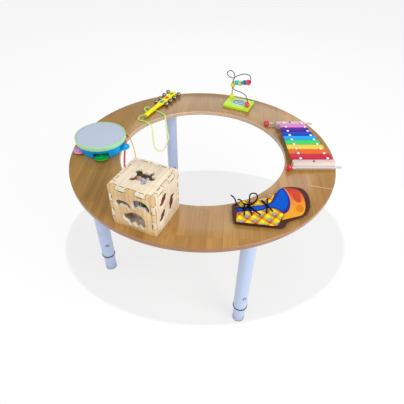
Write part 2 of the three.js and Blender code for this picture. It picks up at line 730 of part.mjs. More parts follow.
place(maze, 'maze_base', makeMazeBase(), mazeGreen);
place(maze, 'maze_wire', makeMazeWire(), mazeWire);
for (const bead of beads) {
  place(maze, bead.name, makeBead(bead), paint(bead.name, bead.color, 0.3));
}

// Xylophone

const xylophone = standOnRing(xyloAt);
const barBottom = railTop + seatGap;
const barTop = barBottom + barThickness;
const malletAxisHeight = malletBallRadius + seatGap;

function railCentre(rail, y) {
  const [near, far] = [nearBlock.front + blockDepth, farBlock.front];
  return rail.near + ((rail.far - rail.near) * (y - near)) / (far - near);
}

// An end block's section, seen along X: its outer face leans back above the mallet's groove.
function makeEndBlock(block, outward) {
  const section = new THREE.Shape();
  const outerFace = outward < 0 ? block.front : block.front + blockDepth;
  const innerFace = outward < 0 ? block.front + blockDepth : block.front;
  section.moveTo(outerFace, seatGap);
  section.lineTo(innerFace, seatGap);
  section.lineTo(innerFace, blockHeight);
  section.lineTo(outerFace - outward * blockSlope, blockHeight);
  section.lineTo(outerFace, blockSlopeHeight);
  section.closePath();
  const length = block.right - block.left;
  const turnUp = new THREE.Matrix4().makeBasis(at(0, 1, 0), at(0, 0, 1), at(1, 0, 0));
  const geometry = new THREE.ExtrudeGeometry(section, {
    depth: length - 2 * blockRound, bevelThickness: blockRound, bevelSize: blockRound,
    bevelOffset: -blockRound, bevelSegments: 1,
  });
  return moved(solidOf(geometry.applyMatrix4(turnUp)), block.left + blockRound, 0, 0);
}

const grooveCentre = (block, outward) => (outward < 0 ? block.front : block.front + blockDepth)
  + outward * (malletStickRadius - malletGroove);

function makeRail(rail) {
  const [near, far] = [nearBlock.front + blockDepth - railInBlock, farBlock.front + railInBlock];
  const shape = new THREE.Shape();
  const half = railWidth / 2;
  shape.moveTo(railCentre(rail, near) - half, near);
  shape.lineTo(railCentre(rail, near) + half, near);
  shape.lineTo(railCentre(rail, far) + half, far);
  shape.lineTo(railCentre(rail, far) - half, far);
  shape.closePath();
  return plate(shape, railBottom, railTop - railBottom, 0);
}

// A pin with a wide head stands in a rail, beside a bar and over its edge.
function makePin(rail, y) {
  const headBottom = barTop + seatGap;
  const pin = turned([
    [0, railBottom + railInBlock], [pinRadius, railBottom + railInBlock], [pinRadius, headBottom],
    [pinHeadRadius, headBottom], [pinHeadRadius, headBottom + pinHeadHeight / 2],
    [pinHeadRadius / 2, headBottom + pinHeadHeight], [0, headBottom + pinHeadHeight],
  ], pinSides);
  return moved(pin, railCentre(rail, y), y, 0);
}

function makeXyloFrame() {
  const solids = [makeRail(leftRail), makeRail(rightRail)];
  for (const [block, outward] of [[nearBlock, -1], [farBlock, 1]]) {
    const grooveRadius = malletStickRadius + slideGap;
    const groove = rod(grooveRadius, block.left - overrun, block.right + overrun, malletSides);
    const grooveStart = at(0, grooveCentre(block, outward), malletAxisHeight);
    solids.push(cut(makeEndBlock(block, outward), [aimed(groove, grooveStart, at(1, 0, 0))]));
  }
  const pinGap = barPitch - barWidth;
  for (const rail of [leftRail, rightRail]) {
    for (let i = 0; i <= barCount; i += 1) {
      solids.push(makePin(rail, barsNearEdge + i * barPitch - pinGap / 2));
    }
  }
  return join(solids);
}

function makeXyloBar(i) {
  const length = longestBar - ((longestBar - shortestBar) * i) / (barCount - 1);
  const front = barsNearEdge + i * barPitch;
  const outline = roundedRectangle(barLeftEnd, barLeftEnd + length, front, front + barWidth, barCorner);
  return plate(outline, barBottom, barThickness, barRound);
}

function makeMallet(ballX, block, outward) {
  const stickStart = malletBallRadius / 2;
  const tipTaper = malletStickRadius / 2;
  const shaft = turned([
    [0, stickStart], [malletStickRadius, stickStart], [malletStickRadius, malletReach - tipTaper],
    [malletStickRadius - tipTaper, malletReach], [0, malletReach],
  ], malletSides);
  const mallet = join([ball(malletBallRadius, malletSides), shaft]);
  return aimed(mallet, at(ballX, grooveCentre(block, outward), malletAxisHeight), at(1, 0, 0));
}

place(xylophone, 'xylophone_frame', makeXyloFrame(), frameWood);
const barNames = ['red', 'orange', 'yellow', 'green', 'light_blue', 'blue', 'purple', 'pink'];
for (let i = 0; i < barCount; i += 1) {
  place(xylophone, `bar_${barNames[i]}`, makeXyloBar(i), paint(`bar_${barNames[i]}`, barColors[i], 0.35));
}
place(xylophone, 'mallet_near', makeMallet(nearMalletBall, nearBlock, -1), malletRed);
place(xylophone, 'mallet_far', makeMallet(farMalletBall, farBlock, 1), malletRed);

// Lacing shoe

const shoe = standOnRing(shoeAt);
const laceRadius = laceDiameter / 2;
const shoeBottom = 2 * seatGap + laceDiameter;
const shoeTop = shoeBottom + shoeThickness;
const shoeSpot = ([along, across]) => [shoeLeft + along * shoeLength, shoeFront + across * shoeWidth];

// The shoe's side view, as shares of its length and width: straight opening and shank, round toe.
const shoeStraightShares = [[0.018, 0.6], [0.004, 0.4], [0, 0.178], [0.27, 0.085], [0.535, 0]];
const shoeCurveShares = [
  [0.575, 0.04], [0.6, 0.09], [0.639, 0.15], [0.7, 0.185], [0.767, 0.211], [0.83, 0.245],
  [0.886, 0.294], [0.945, 0.4], [0.974, 0.511], [0.994, 0.64], [1, 0.766], [0.985, 0.87],
  [0.948, 0.947], [0.87, 0.99], [0.763, 1], [0.72, 0.985], [0.696, 0.961], [0.635, 0.885],
  [0.588, 0.835], [0.523, 0.81], [0.47, 0.76], [0.427, 0.724], [0.323, 0.692], [0.22, 0.69],
  [0.133, 0.695], [0.067, 0.628],
];
const upperHoleShares = [[0.166, 0.6], [0.25, 0.612], [0.32, 0.63], [0.388, 0.649], [0.466, 0.679]];
const lowerHoleShares = [[0.13, 0.321], [0.22, 0.31], [0.319, 0.298], [0.402, 0.336], [0.479, 0.373]];
const knotShare = [0.211, 0.525];

function makeShoeBoard() {
  const [straight, curved] = [shoeStraightShares, shoeCurveShares]
    .map((shares) => shares.map((share) => new THREE.Vector2(...shoeSpot(share))));
  const outline = [...straight, ...curved];
  const board = plate(new THREE.Shape(outline), shoeBottom, shoeThickness, shoeEdge);
  const drill = rod(laceHoleRadius, shoeBottom - overrun, shoeTop + overrun, laceHoleSides);
  const holes = [...upperHoleShares, ...lowerHoleShares].map((share) => moved(drill, ...shoeSpot(share), 0));
  return cut(board, holes);
}

// The lace goes on straight runs from hole to hole, over and under the board in turn.
const laceOver = shoeTop + laceRadius + seatGap;
const laceUnder = shoeBottom - laceRadius - seatGap;
const over = (share, lift = 0) => at(...shoeSpot(share), laceOver + lift);
const under = (share) => at(...shoeSpot(share), laceUnder);
const [upper1, , , upper4, upper5] = upperHoleShares;
const [lower1, lower2, lower3, lower4, lower5] = lowerHoleShares;
const looseEndShares = [
  [0.023, 0.812], [0.05, 0.759], [0.065, 0.665], [0.065, 0.589], [0.092, 0.504], [0.133, 0.452],
  [0.168, 0.441],
];
const bowLoopShares = [
  [0.239, 0.672], [0.259, 0.787], [0.3, 0.835], [0.345, 0.804], [0.339, 0.69], [0.292, 0.596],
  [0.261, 0.553],
];
const smallLoopShares = [[0.15, 0.56], [0.12, 0.682], [0.089, 0.67]];

const laceRoute = [
  ...looseEndShares.map((share) => over(share, laceDiameter)),
  over(knotShare, laceDiameter),
  ...bowLoopShares.map((share) => over(share, laceDiameter)),
  over(knotShare, laceDiameter),
  over(lower2), under(lower2), under(lower1), over(lower1),
  over(upper1), under(upper1), under(upper4), over(upper4),
  over(lower5), under(lower5), under(upper5), over(upper5, laceDiameter),
  over(lower4, laceDiameter), under(lower4), under(lower3), over(lower3),
  over(knotShare, laceDiameter),
  ...smallLoopShares.map((share) => over(share, 2 * laceDiameter)),
];

function makeLace() {
  const runs = [];
  for (let i = 0; i < laceRoute.length - 1; i += 1) {
    const [start, end] = [laceRoute[i], laceRoute[i + 1]];
    const along = new THREE.Vector3().subVectors(end, start);
    runs.push(aimed(rod(laceRadius, 0, along.length(), laceSides), start, along));
    runs.push(moved(ball(laceRadius, laceSides), end.x, end.y, end.z));
  }
  return join(runs);
}

place(shoe, 'shoe_board', makeShoeBoard(), shoeBoard);
place(shoe, 'shoe_lace', makeLace(), laceBlack);

// Shape sorting cube

const cube = standOnRing(cubeAt);
const cubeHalf = cubeSide / 2;
const cubeInner = cubeHalf - cubeWall;
const cubeTop = cubeSide + seatGap;
const lidBottom = cubeTop - cubeWall;

// Each silhouette is a set of ovals, as shares of its width and height: [x, y, half width, half height].
const elephantShares = [
  [0, 0.12, 0.42, 0.36], [-0.33, -0.14, 0.14, 0.34], [0.36, -0.16, 0.13, 0.32],
];
const hedgehogShares = [
  [0.06, 0.04, 0.38, 0.4], [-0.33, -0.04, 0.17, 0.26], [-0.2, -0.28, 0.1, 0.2],
  [0.08, -0.3, 0.1, 0.18], [0.34, -0.24, 0.12, 0.24],
];
const turtleShares = [
  [0, 0, 0.3, 0.32], [0.34, 0.04, 0.15, 0.15], [-0.28, 0.26, 0.15, 0.15], [-0.26, -0.26, 0.15, 0.15],
  [0.22, 0.3, 0.1, 0.17], [0.2, -0.3, 0.11, 0.17],
];
const sealShares = [[0, 0, 0.22, 0.34], [0.14, 0.26, 0.16, 0.22], [-0.16, -0.28, 0.2, 0.2]];
const birdShares = [
  [0, -0.02, 0.26, 0.32], [0.1, 0.32, 0.2, 0.16], [-0.12, -0.36, 0.13, 0.14], [0.3, 0.34, 0.16, 0.08],
];

// A silhouette in the XY plane, as deep along Z as stated, at its place in its face.
function silhouette([ovalShares, widthShare, heightShare, acrossShare, upShare], depth) {
  const [width, height] = [widthShare * cubeSide, heightShare * cubeSide];
  const [across, up] = [acrossShare * cubeSide, upShare * cubeSide];
  const ovals = ovalShares.map(([x, y, halfWidth, halfHeight]) => {
    const shape = new THREE.Shape();
    const [middleX, middleY] = [across + x * width, up + y * height];
    shape.absellipse(middleX, middleY, halfWidth * width, halfHeight * height, 0, 2 * Math.PI);
    return plate(shape, -depth / 2, depth, 0, ovalSteps);
  });
  return join(ovals);
}

// The openings: an outline, then its width, its height and its middle as shares of the cube's side.
// Places across a face are counted from its middle, and heights from the cube's foot.
const frontCutShares = [
  [elephantShares, 0.376, 0.188, -0.208, 0.614],
  [elephantShares, 0.409, 0.265, 0.195, 0.709],
  [hedgehogShares, 0.544, 0.403, 0.024, 0.3],
];
const sideCutShares = [
  [sealShares, 0.389, 0.208, -0.144, 0.725],
  [birdShares, 0.295, 0.336, 0.148, 0.436],
  [sealShares, 0.336, 0.208, -0.208, 0.362],
];
const lidCutShares = [[turtleShares, 0.564, 0.47, -0.027, 0]];

// Finger joints of the lid: shares of the side where a tab of the lid starts and ends.
const lidTabShares = [[0.17, 0.4], [0.6, 0.83]];

function lidTabs(play, bottom, top) {
  const reach = cubeHalf - play;
  const tabs = [];
  for (const [start, end] of lidTabShares) {
    const [low, high] = [start * cubeSide - cubeHalf, end * cubeSide - cubeHalf];
    tabs.push(bar(at(low + play, -reach, bottom), at(high - play, reach, top)));
    tabs.push(bar(at(-reach, low + play, bottom), at(reach, high - play, top)));
  }
  return tabs;
}

function makeCubeBody() {
  const outer = bar(at(-cubeHalf, -cubeHalf, seatGap), at(cubeHalf, cubeHalf, cubeTop));
  const floorTop = seatGap + cubeWall;
  const inner = bar(at(-cubeInner, -cubeInner, floorTop), at(cubeInner, cubeInner, cubeTop + overrun));
  const wallMiddle = cubeHalf - cubeWall / 2;
  const frontCuts = frontCutShares
    .map((shares) => moved(silhouette(shares, sorterCut).rotate([90, 0, 0]), 0, -wallMiddle, 0));
  const sideCuts = sideCutShares
    .map((shares) => moved(silhouette(shares, sorterCut).rotate([90, 0, 90]), wallMiddle, 0, 0));
  const notches = lidTabs(-lidPlay, lidBottom, cubeTop + overrun);
  return cut(outer, [inner, ...frontCuts, ...sideCuts, ...notches]);
}

function makeCubeLid() {
  const reach = cubeInner - lidPlay;
  const bottom = lidBottom + seatGap;
  const middle = bar(at(-reach, -reach, bottom), at(reach, reach, cubeTop));
  const holes = lidCutShares.map((shares) => moved(silhouette(shares, 2 * sorterCut), 0, 0, cubeTop));
  return cut(join([middle, ...lidTabs(0, bottom, cubeTop)]), holes);
}

// The blocks lie on each other in the cube: an outline with its width, depth and place as shares
// of the cube's side, as for the openings, and the block's thickness as a share of it too.
const sorterBlocks = [
  {
    name: 'purple', color: 0x5c4a78, thickShare: 0.322,
    shares: [hedgehogShares, 0.47, 0.282, -0.081, -0.134],
  },
  {
    name: 'green', color: 0x2c6a34, thickShare: 0.201,
    shares: [hedgehogShares, 0.47, 0.282, -0.067, -0.148],
  },
  {
    name: 'grey', color: 0x8d8896, thickShare: 0.322,
    shares: [turtleShares, 0.362, 0.309, -0.027, -0.054],
  },
];

place(cube, 'cube_body', makeCubeBody(), pinePly);
place(cube, 'cube_lid', makeCubeLid(), pinePly);
let blockBottom = seatGap + cubeWall + seatGap;
for (const { name, color, thickShare, shares } of sorterBlocks) {
  const thickness = thickShare * cubeSide;
  const block = moved(silhouette(shares, thickness), 0, 0, blockBottom + thickness / 2);
  place(cube, `sorter_block_${name}`, block, paint(`sorter_block_${name}`, color, 0.5));
  blockBottom += thickness + blockGapAbove;
}

export default table;
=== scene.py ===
import math

import bpy
from mathutils import Matrix, Vector


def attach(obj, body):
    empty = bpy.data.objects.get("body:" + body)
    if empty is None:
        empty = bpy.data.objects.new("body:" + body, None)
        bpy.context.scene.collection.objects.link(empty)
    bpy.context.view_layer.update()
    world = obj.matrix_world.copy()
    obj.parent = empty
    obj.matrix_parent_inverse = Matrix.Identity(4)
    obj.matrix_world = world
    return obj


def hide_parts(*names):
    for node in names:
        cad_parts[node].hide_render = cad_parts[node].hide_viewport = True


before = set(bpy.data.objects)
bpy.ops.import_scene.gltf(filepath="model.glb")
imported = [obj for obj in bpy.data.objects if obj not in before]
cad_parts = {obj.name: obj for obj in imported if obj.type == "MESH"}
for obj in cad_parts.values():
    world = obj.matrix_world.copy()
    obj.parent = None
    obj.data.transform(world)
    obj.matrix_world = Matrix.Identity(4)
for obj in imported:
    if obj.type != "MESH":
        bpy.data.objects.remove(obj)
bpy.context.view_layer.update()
print("frame loaded")

# All sizes below are millimetres, and the helpers turn them into metres.
mm = 0.001
smoothAngle = math.radians(38)


# Modelling helpers

def pickOnly(*picked):
    bpy.ops.object.select_all(action="DESELECT")
    for piece in picked:
        piece.select_set(True)
    bpy.context.view_layer.objects.active = picked[0]


def startEdit():
    bpy.ops.object.mode_set(mode="EDIT")


def endEdit():
    bpy.ops.object.mode_set(mode="OBJECT")


def namePiece(piece, name):
    piece.name = name
    piece.data.name = name
    return piece


def closeSkin():
    bpy.ops.mesh.select_all(action="SELECT")
    bpy.ops.mesh.remove_doubles(threshold=mm / 200)
    bpy.ops.mesh.normals_make_consistent(inside=False)


def settle(piece, place=(0, 0, 0), turn=(0, 0, 0)):
    # turns a piece, sets it down and puts both into its mesh
    pickOnly(piece)
    bpy.ops.object.transform_apply(location=True, rotation=True, scale=True)
    piece.rotation_euler = [math.radians(angle) for angle in turn]
    piece.location = Vector(place) * mm
    bpy.ops.object.transform_apply(location=True, rotation=True, scale=True)
    return piece


def aim(piece, place, direction):
    # turns what points up to point along a direction
    pickOnly(piece)
    piece.rotation_mode = "QUATERNION"
    piece.rotation_quaternion = Vector((0, 0, 1)).rotation_difference(Vector(direction))
    piece.location = Vector(place) * mm
    bpy.ops.object.transform_apply(location=True, rotation=True, scale=True)
    piece.rotation_mode = "XYZ"
    return piece


def drawLine(name, points):
    # starts as one point and is drawn on from point to point, and stays in edit mode
    points = [Vector(point) * mm for point in points]
    bpy.ops.object.select_all(action="DESELECT")
    bpy.ops.mesh.primitive_plane_add(size=mm, location=points[0])
    piece = namePiece(bpy.context.object, name)
    startEdit()
    bpy.ops.mesh.merge(type="CENTER")
    for here, there in zip(points, points[1:]):
        bpy.ops.mesh.extrude_vertices_move(TRANSFORM_OT_translate={"value": there - here})
    bpy.ops.mesh.select_all(action="SELECT")
    return piece


def turnedPiece(name, profile, sides=64, closed=False):
    # spins a profile of (radius, height) round the upright axis
    points = [(radius, 0, height) for radius, height in profile]
    piece = drawLine(name, points + points[:1] if closed else points)
    bpy.ops.mesh.spin(steps=sides, angle=2 * math.pi, center=(0, 0, 0), axis=(0, 0, 1))
    closeSkin()
    endEdit()
    return settle(piece)


def platePiece(name, outline, bottom, thickness, edge=0, segments=2):
    # fills an outline of (x, y), raises it and rounds its edges
    piece = drawLine(name, [(x, y, bottom) for x, y in outline])
    bpy.ops.mesh.edge_face_add()
    bpy.ops.mesh.extrude_region_move(TRANSFORM_OT_translate={"value": (0, 0, thickness * mm)})
    closeSkin()
    endEdit()
    settle(piece)
    return roundEdges(piece, edge, segments) if edge else piece


def boxPiece(name, low, high, edge, segments=3):
    size = Vector(high) - Vector(low)
    bpy.ops.object.select_all(action="DESELECT")
    bpy.ops.mesh.primitive_cube_add(size=1, location=(Vector(low) + size / 2) * mm, scale=size * mm)
    piece = namePiece(bpy.context.object, name)
    settle(piece)
    startEdit()
    bpy.ops.mesh.select_all(action="SELECT")
    bpy.ops.mesh.bevel(offset=edge * mm, segments=segments, affect="EDGES")
    endEdit()
    return piece


def rodPiece(name, radius, bottom, top, sides=32, edge=0.4):
    profile = [(0, bottom), (radius - edge, bottom), (radius, bottom + edge),
               (radius, top - edge), (radius - edge, top), (0, top)]
    return turnedPiece(name, profile, sides)


def useModifier(piece, kind, **settings):
    pickOnly(piece)
    bpy.ops.object.modifier_add(type=kind)
    modifier = piece.modifiers[-1]
    for setting, value in settings.items():
        setattr(modifier, setting, value)
    bpy.ops.object.modifier_apply(modifier=modifier.name)
    return piece


def roundEdges(piece, width, segments=2, angle=30):
    return useModifier(piece, "BEVEL", width=width * mm, segments=segments,
                       limit_method="ANGLE", angle_limit=math.radians(angle))


def drop(*pieces):
    pickOnly(*pieces)
    bpy.ops.object.delete()


def cutAway(piece, *cutters):
    # a cutter that has a material gives it to the faces that it cuts
    for cutter in cutters:
        useModifier(piece, "BOOLEAN", operation="DIFFERENCE", solver="EXACT", object=cutter,
                    material_mode="TRANSFER" if cutter.data.materials else "INDEX")
        drop(cutter)
    return piece


def fuse(piece, *others):
    for other in others:
        useModifier(piece, "BOOLEAN", operation="UNION", solver="EXACT", object=other)
        drop(other)
    return piece


def joinPieces(name, parts):
    pickOnly(*parts)
    if len(parts) > 1:
        bpy.ops.object.join()
    return namePiece(parts[0], name)


def copyOf(piece, name):
    pickOnly(piece)
    bpy.ops.object.duplicate(linked=False)
    return namePiece(bpy.context.object, name)


def wirePiece(name, points, radius, sides=4):
    # a line drawn point by point, turned into a curve to be given its thickness
    piece = drawLine(name, points)
    endEdit()
    settle(piece)
    bpy.ops.object.convert(target="CURVE")
    piece = bpy.context.object
    piece.data.bevel_depth = radius * mm
    piece.data.bevel_resolution = sides
    piece.data.use_fill_caps = True
    bpy.ops.object.convert(target="MESH")
    piece = namePiece(bpy.context.object, name)
    startEdit()
    closeSkin()
    endEdit()
    return piece


def arc(middleX, middleY, radius, start, end, steps):
    # points of an arc, in degrees
    angles = [math.radians(start + (end - start) * i / steps) for i in range(steps + 1)]
    return [(middleX + radius * math.cos(a), middleY + radius * math.sin(a)) for a in angles]


def roundedBox(left, right, low, high, radius, steps=4):
    # the outline of a rectangle with round corners
    return (arc(right - radius, low + radius, radius, -90, 0, steps)
            + arc(right - radius, high - radius, radius, 0, 90, steps)
            + arc(left + radius, high - radius, radius, 90, 180, steps)
            + arc(left + radius, low + radius, radius, 180, 270, steps))


def smoothLine(points, steps=8):
    # a smooth curve through all points
    points = [Vector(point) for point in points]
    ends = [2 * points[0] - points[1], *points, 2 * points[-1] - points[-2]]
    line = []
    for before, here, there, after in zip(ends, ends[1:], ends[2:], ends[3:]):
        slopeHere, slopeThere = (there - before) / 2, (after - here) / 2
        for i in range(steps):
            t = i / steps
            line.append(here * (2 * t ** 3 - 3 * t ** 2 + 1) + slopeHere * (t ** 3 - 2 * t ** 2 + t)
                        + there * (3 * t ** 2 - 2 * t ** 3) + slopeThere * (t ** 3 - t ** 2))
    return line + [points[-1]]


def finishPiece(piece, body, material, replaced=()):
    pickOnly(piece)
    if not piece.data.materials:
        piece.data.materials.append(material)
    bpy.ops.object.shade_smooth_by_angle(angle=smoothAngle)
    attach(piece, body)
    if replaced:
        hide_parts(*replaced)
    return piece


def spinXY(x, y, angle):
    cos, sin = math.cos(math.radians(angle)), math.sin(math.radians(angle))
    return x * cos - y * sin, x * sin + y * cos


tableTop = 521


def onRing(place, x=0, y=0, z=0):
    # a point of a toy's own space, in the table's space
    alongX, alongY = spinXY(x, y, place["turn"])
    return place["x"] + alongX, place["y"] + alongY, tableTop + z


def standOn(piece, place):
    return settle(piece, onRing(place), (0, 0, place["turn"]))


# Material helpers

def screen(red, green, blue):
    # a colour as it looks on a screen, from 0 to 255, as the linear colour of a shader
    linear = [c / 255 / 12.92 if c <= 10 else ((c / 255 + 0.055) / 1.055) ** 2.4
              for c in (red, green, blue)]
    return (*linear, 1)


def fill(tree, made, sockets):
    # gives each socket its value, or links it to the output that feeds it
    for socket, value in sockets.items():
        if isinstance(value, bpy.types.NodeSocket):
            tree.links.new(value, made.inputs[socket])
        else:
            made.inputs[socket].default_value = value
    return made


def node(tree, kind, sockets=None, **settings):
    made = tree.nodes.new(kind)
    for setting, value in settings.items():
        setattr(made, setting, value)
    return fill(tree, made, sockets or {})


def output(tree, kind, sockets=None, **settings):
    return node(tree, kind, sockets, **settings).outputs[0]


def count(tree, operation, first, second=0.0, third=0.0):
    return output(tree, "ShaderNodeMath", {0: first, 1: second, 2: third}, operation=operation)


def spread(tree, value, low, high, lowest=0.0, highest=1.0):
    # maps low to high of a value on lowest to highest, and keeps within these
    sockets = {"Value": value, "From Min": low, "From Max": high, "To Min": lowest, "To Max": highest}
    return output(tree, "ShaderNodeMapRange", sockets)


def mixed(tree, share, first, second, way="MIX"):
    made = node(tree, "ShaderNodeMix", {0: share, 6: first, 7: second}, data_type="RGBA", blend_type=way)
    return made.outputs[2]


def toned(tree, colour, value, saturation=1.0):
    sockets = {"Hue": 0.5, "Saturation": saturation, "Fac": 1.0, "Color": colour, "Value": value}
    return output(tree, "ShaderNodeHueSaturation", sockets)


def toneRamp(tree, value, stops, stepped=False):
    made = node(tree, "ShaderNodeValToRGB", {0: value})
    ramp = made.color_ramp
    ramp.interpolation = "CONSTANT" if stepped else "LINEAR"
    while len(ramp.elements) < len(stops):
        ramp.elements.new(0.5)
    for element, (where, tone) in zip(ramp.elements, stops):
        element.position = where
        element.color = screen(*tone)
    return made.outputs[0]


def noise(tree, space, scale, detail=3.0, rough=0.55, twist=0.0):
    sockets = {"Vector": space, "Scale": scale, "Detail": detail, "Roughness": rough, "Distortion": twist}
    return output(tree, "ShaderNodeTexNoise", sockets)


def axes(tree, vector):
    return node(tree, "ShaderNodeSeparateXYZ", {0: vector}).outputs


def reachOf(tree, vector):
    return node(tree, "ShaderNodeVectorMath", {0: vector}, operation="LENGTH").outputs["Value"]


def lineAt(tree, value, middle, fade, strength):
    # a soft line round the middle, which fades between the two distances of fade
    away = count(tree, "ABSOLUTE", count(tree, "SUBTRACT", value, middle * mm))
    return spread(tree, away, fade[0] * mm, fade[1] * mm, strength, 0)


def stretched(tree, space, scale):
    return output(tree, "ShaderNodeMapping", {"Vector": space, "Scale": scale})


def patternSpace(tree, place=(0, 0, 0), turn=(0, 0, 0)):
    # the piece's own space, moved to a place and turned to a grain
    space = node(tree, "ShaderNodeTexCoord").outputs["Object"]
    sockets = {"Vector": space, "Location": Vector(place) * mm, "Rotation": [math.radians(a) for a in turn]}
    return output(tree, "ShaderNodeMapping", sockets, vector_type="TEXTURE")


def toyTurn(place, turn=(0, 0, 0)):
    # the turn of a toy's own space, with the grain turned in it
    whole = Matrix.Rotation(math.radians(place["turn"]), 3, "Z")
    for angle, axis in zip(reversed(turn), "ZYX"):
        whole = whole @ Matrix.Rotation(math.radians(angle), 3, axis)
    return [math.degrees(angle) for angle in whole.to_euler()]


def startGroup(name, takes, gives):
    tree = bpy.data.node_groups.new(name, "ShaderNodeTree")
    kinds = {"vector": "NodeSocketVector", "colour": "NodeSocketColor", "value": "NodeSocketFloat"}
    for label, kind in takes:
        tree.interface.new_socket(label, in_out="INPUT", socket_type=kinds[kind])
    for label, kind in gives:
        tree.interface.new_socket(label, in_out="OUTPUT", socket_type=kinds[kind])
    return tree, tree.nodes.new("NodeGroupInput").outputs, tree.nodes.new("NodeGroupOutput").inputs


def useGroup(tree, name, sockets):
    made = tree.nodes.new("ShaderNodeGroup")
    made.node_tree = bpy.data.node_groups[name]
    return fill(tree, made, sockets).outputs


def newMaterial(name, look):
    # the shader's fixed values, which no node feeds
    material = bpy.data.materials.new(name)
    material.use_nodes = True
    tree = material.node_tree
    shader = next(n for n in tree.nodes if n.type == "BSDF_PRINCIPLED")
    fixed = (("Metallic", "metal", 0), ("Coat Weight", "coat", 0), ("Coat Roughness", "coatGloss", 0.1),
             ("Coat IOR", "coatDepth", 1.5), ("Specular IOR Level", "specular", 0.4),
             ("Sheen Weight", "sheen", 0))
    for socket, setting, usual in fixed:
        shader.inputs[socket].default_value = look.get(setting, usual)
    return material, tree, shader


def wireUp(tree, shader, made, bump=0.3, depth=0.4):
    # from a group's colour, roughness and height
    relief = output(tree, "ShaderNodeBump", {
        "Strength": bump, "Distance": depth * mm, "Height": made["Height"]})
    fill(tree, shader, {"Base Color": made["Color"], "Roughness": made["Roughness"], "Normal": relief})


# Shared effects

def makeGrainGroup():
    tree, take, give = startGroup(
        "woodGrain",
        [("Vector", "vector"), ("Light", "colour"), ("Dark", "colour"), ("Figure", "value"),
         ("Bands", "value"), ("Pores", "value")],
        [("Color", "colour"), ("Roughness", "value"), ("Height", "value")])
    along = stretched(tree, take["Vector"], (0.08, 1, 1))
    figure = spread(tree, noise(tree, along, take["Figure"], 4, 0.6, 0.5), 0.25, 0.75)
    waves = node(tree, "ShaderNodeTexWave", {
        "Vector": along, "Scale": count(tree, "MULTIPLY", take["Figure"], 0.9), "Distortion": 5.0,
        "Detail": 2.0, "Detail Scale": 0.7}, wave_type="BANDS", bands_direction="Y").outputs["Fac"]
    fibres = noise(tree, stretched(tree, take["Vector"], (0.02, 1, 1)), 900, 2)
    pores = count(tree, "MULTIPLY", spread(tree, fibres, 0.58, 0.72), take["Pores"])
    rest = count(tree, "SUBTRACT", 1.0, take["Bands"])
    share = count(tree, "MULTIPLY_ADD", waves, take["Bands"], count(tree, "MULTIPLY", figure, rest))
    tone = mixed(tree, share, take["Light"], take["Dark"])
    tone = mixed(tree, count(tree, "MULTIPLY", pores, 0.5), tone, take["Dark"], "MULTIPLY")
    tree.links.new(tone, give["Color"])
    tree.links.new(count(tree, "MULTIPLY_ADD", figure, 0.2, pores), give["Roughness"])
    tree.links.new(count(tree, "SUBTRACT", count(tree, "MULTIPLY", share, 0.3), pores), give["Height"])


def makeStaveGroup():
    # a board glued up from staves that differ in tone, with the grain along X
    tree, take, give = startGroup(
        "staveWood",
        [("Vector", "vector"), ("Light", "colour"), ("Dark", "colour"), ("Length", "value"),
         ("Width", "value"), ("Spread", "value"), ("Figure", "value"), ("Bands", "value"),
         ("Pores", "value")],
        [("Color", "colour"), ("Roughness", "value"), ("Height", "value")])
    staves = node(tree, "ShaderNodeTexBrick", {
        "Vector": take["Vector"], "Color1": (0, 0, 0, 1), "Color2": (1, 1, 1, 1),
        "Mortar": (0.5, 0.5, 0.5, 1),
        "Scale": 1.0, "Mortar Size": 0.35 * mm, "Mortar Smooth": 0.3, "Brick Width": take["Length"],
        "Row Height": take["Width"]}, offset=0.37, offset_frequency=2)
    tone = staves.outputs["Color"]
    # each stave takes its grain from another place
    jump = output(tree, "ShaderNodeVectorMath", {0: tone, 1: (3.1, 7.3, 5.7)}, operation="MULTIPLY")
    place = output(tree, "ShaderNodeVectorMath", {0: take["Vector"], 1: jump}, operation="ADD")
    grain = useGroup(tree, "woodGrain", {
        "Vector": place, "Light": take["Light"], "Dark": take["Dark"], "Figure": take["Figure"],
        "Bands": take["Bands"], "Pores": take["Pores"]})
    offset = count(tree, "MULTIPLY", count(tree, "SUBTRACT", tone, 0.5), take["Spread"])
    colour = toned(tree, grain["Color"], count(tree, "ADD", offset, 1.0))
    joint = count(tree, "MULTIPLY", staves.outputs["Fac"], 0.6)
    tree.links.new(mixed(tree, joint, colour, take["Dark"], "MULTIPLY"), give["Color"])
    tree.links.new(grain["Roughness"], give["Roughness"])
    tree.links.new(count(tree, "SUBTRACT", grain["Height"], joint), give["Height"])


def makePaintGroup():
    # a coat of paint, plastic or metal: patches, a fine skin and light scuffs
    tree, take, give = startGroup(
        "paintFilm",
        [("Vector", "vector"), ("Paint", "colour"), ("Patch", "value"), ("Change", "value"),
         ("Gloss", "value"), ("Scuff", "value")],
        [("Color", "colour"), ("Roughness", "value"), ("Height", "value")])
    patches = noise(tree, take["Vector"], take["Patch"], 4, 0.6)
    middle = count(tree, "SUBTRACT", patches, 0.5)
    lift = count(tree, "MULTIPLY_ADD", middle, count(tree, "MULTIPLY", take["Change"], 2.0), 1.0)
    colour = toned(tree, take["Paint"], lift)
    marks = noise(tree, stretched(tree, take["Vector"], (1, 0.25, 0.5)), 420, 3, 0.7)
    scuffs = count(tree, "MULTIPLY", spread(tree, marks, 0.62, 0.74), take["Scuff"])
    tree.links.new(mixed(tree, scuffs, colour, (0.75, 0.75, 0.74, 1)), give["Color"])
    rough = count(tree, "MULTIPLY_ADD", middle, 0.2, take["Gloss"])
    tree.links.new(count(tree, "MULTIPLY_ADD", scuffs, 0.4, rough), give["Roughness"])
    skin = count(tree, "MULTIPLY_ADD", noise(tree, take["Vector"], 1600, 2), 0.3, patches)
    tree.links.new(count(tree, "SUBTRACT", skin, scuffs), give["Height"])


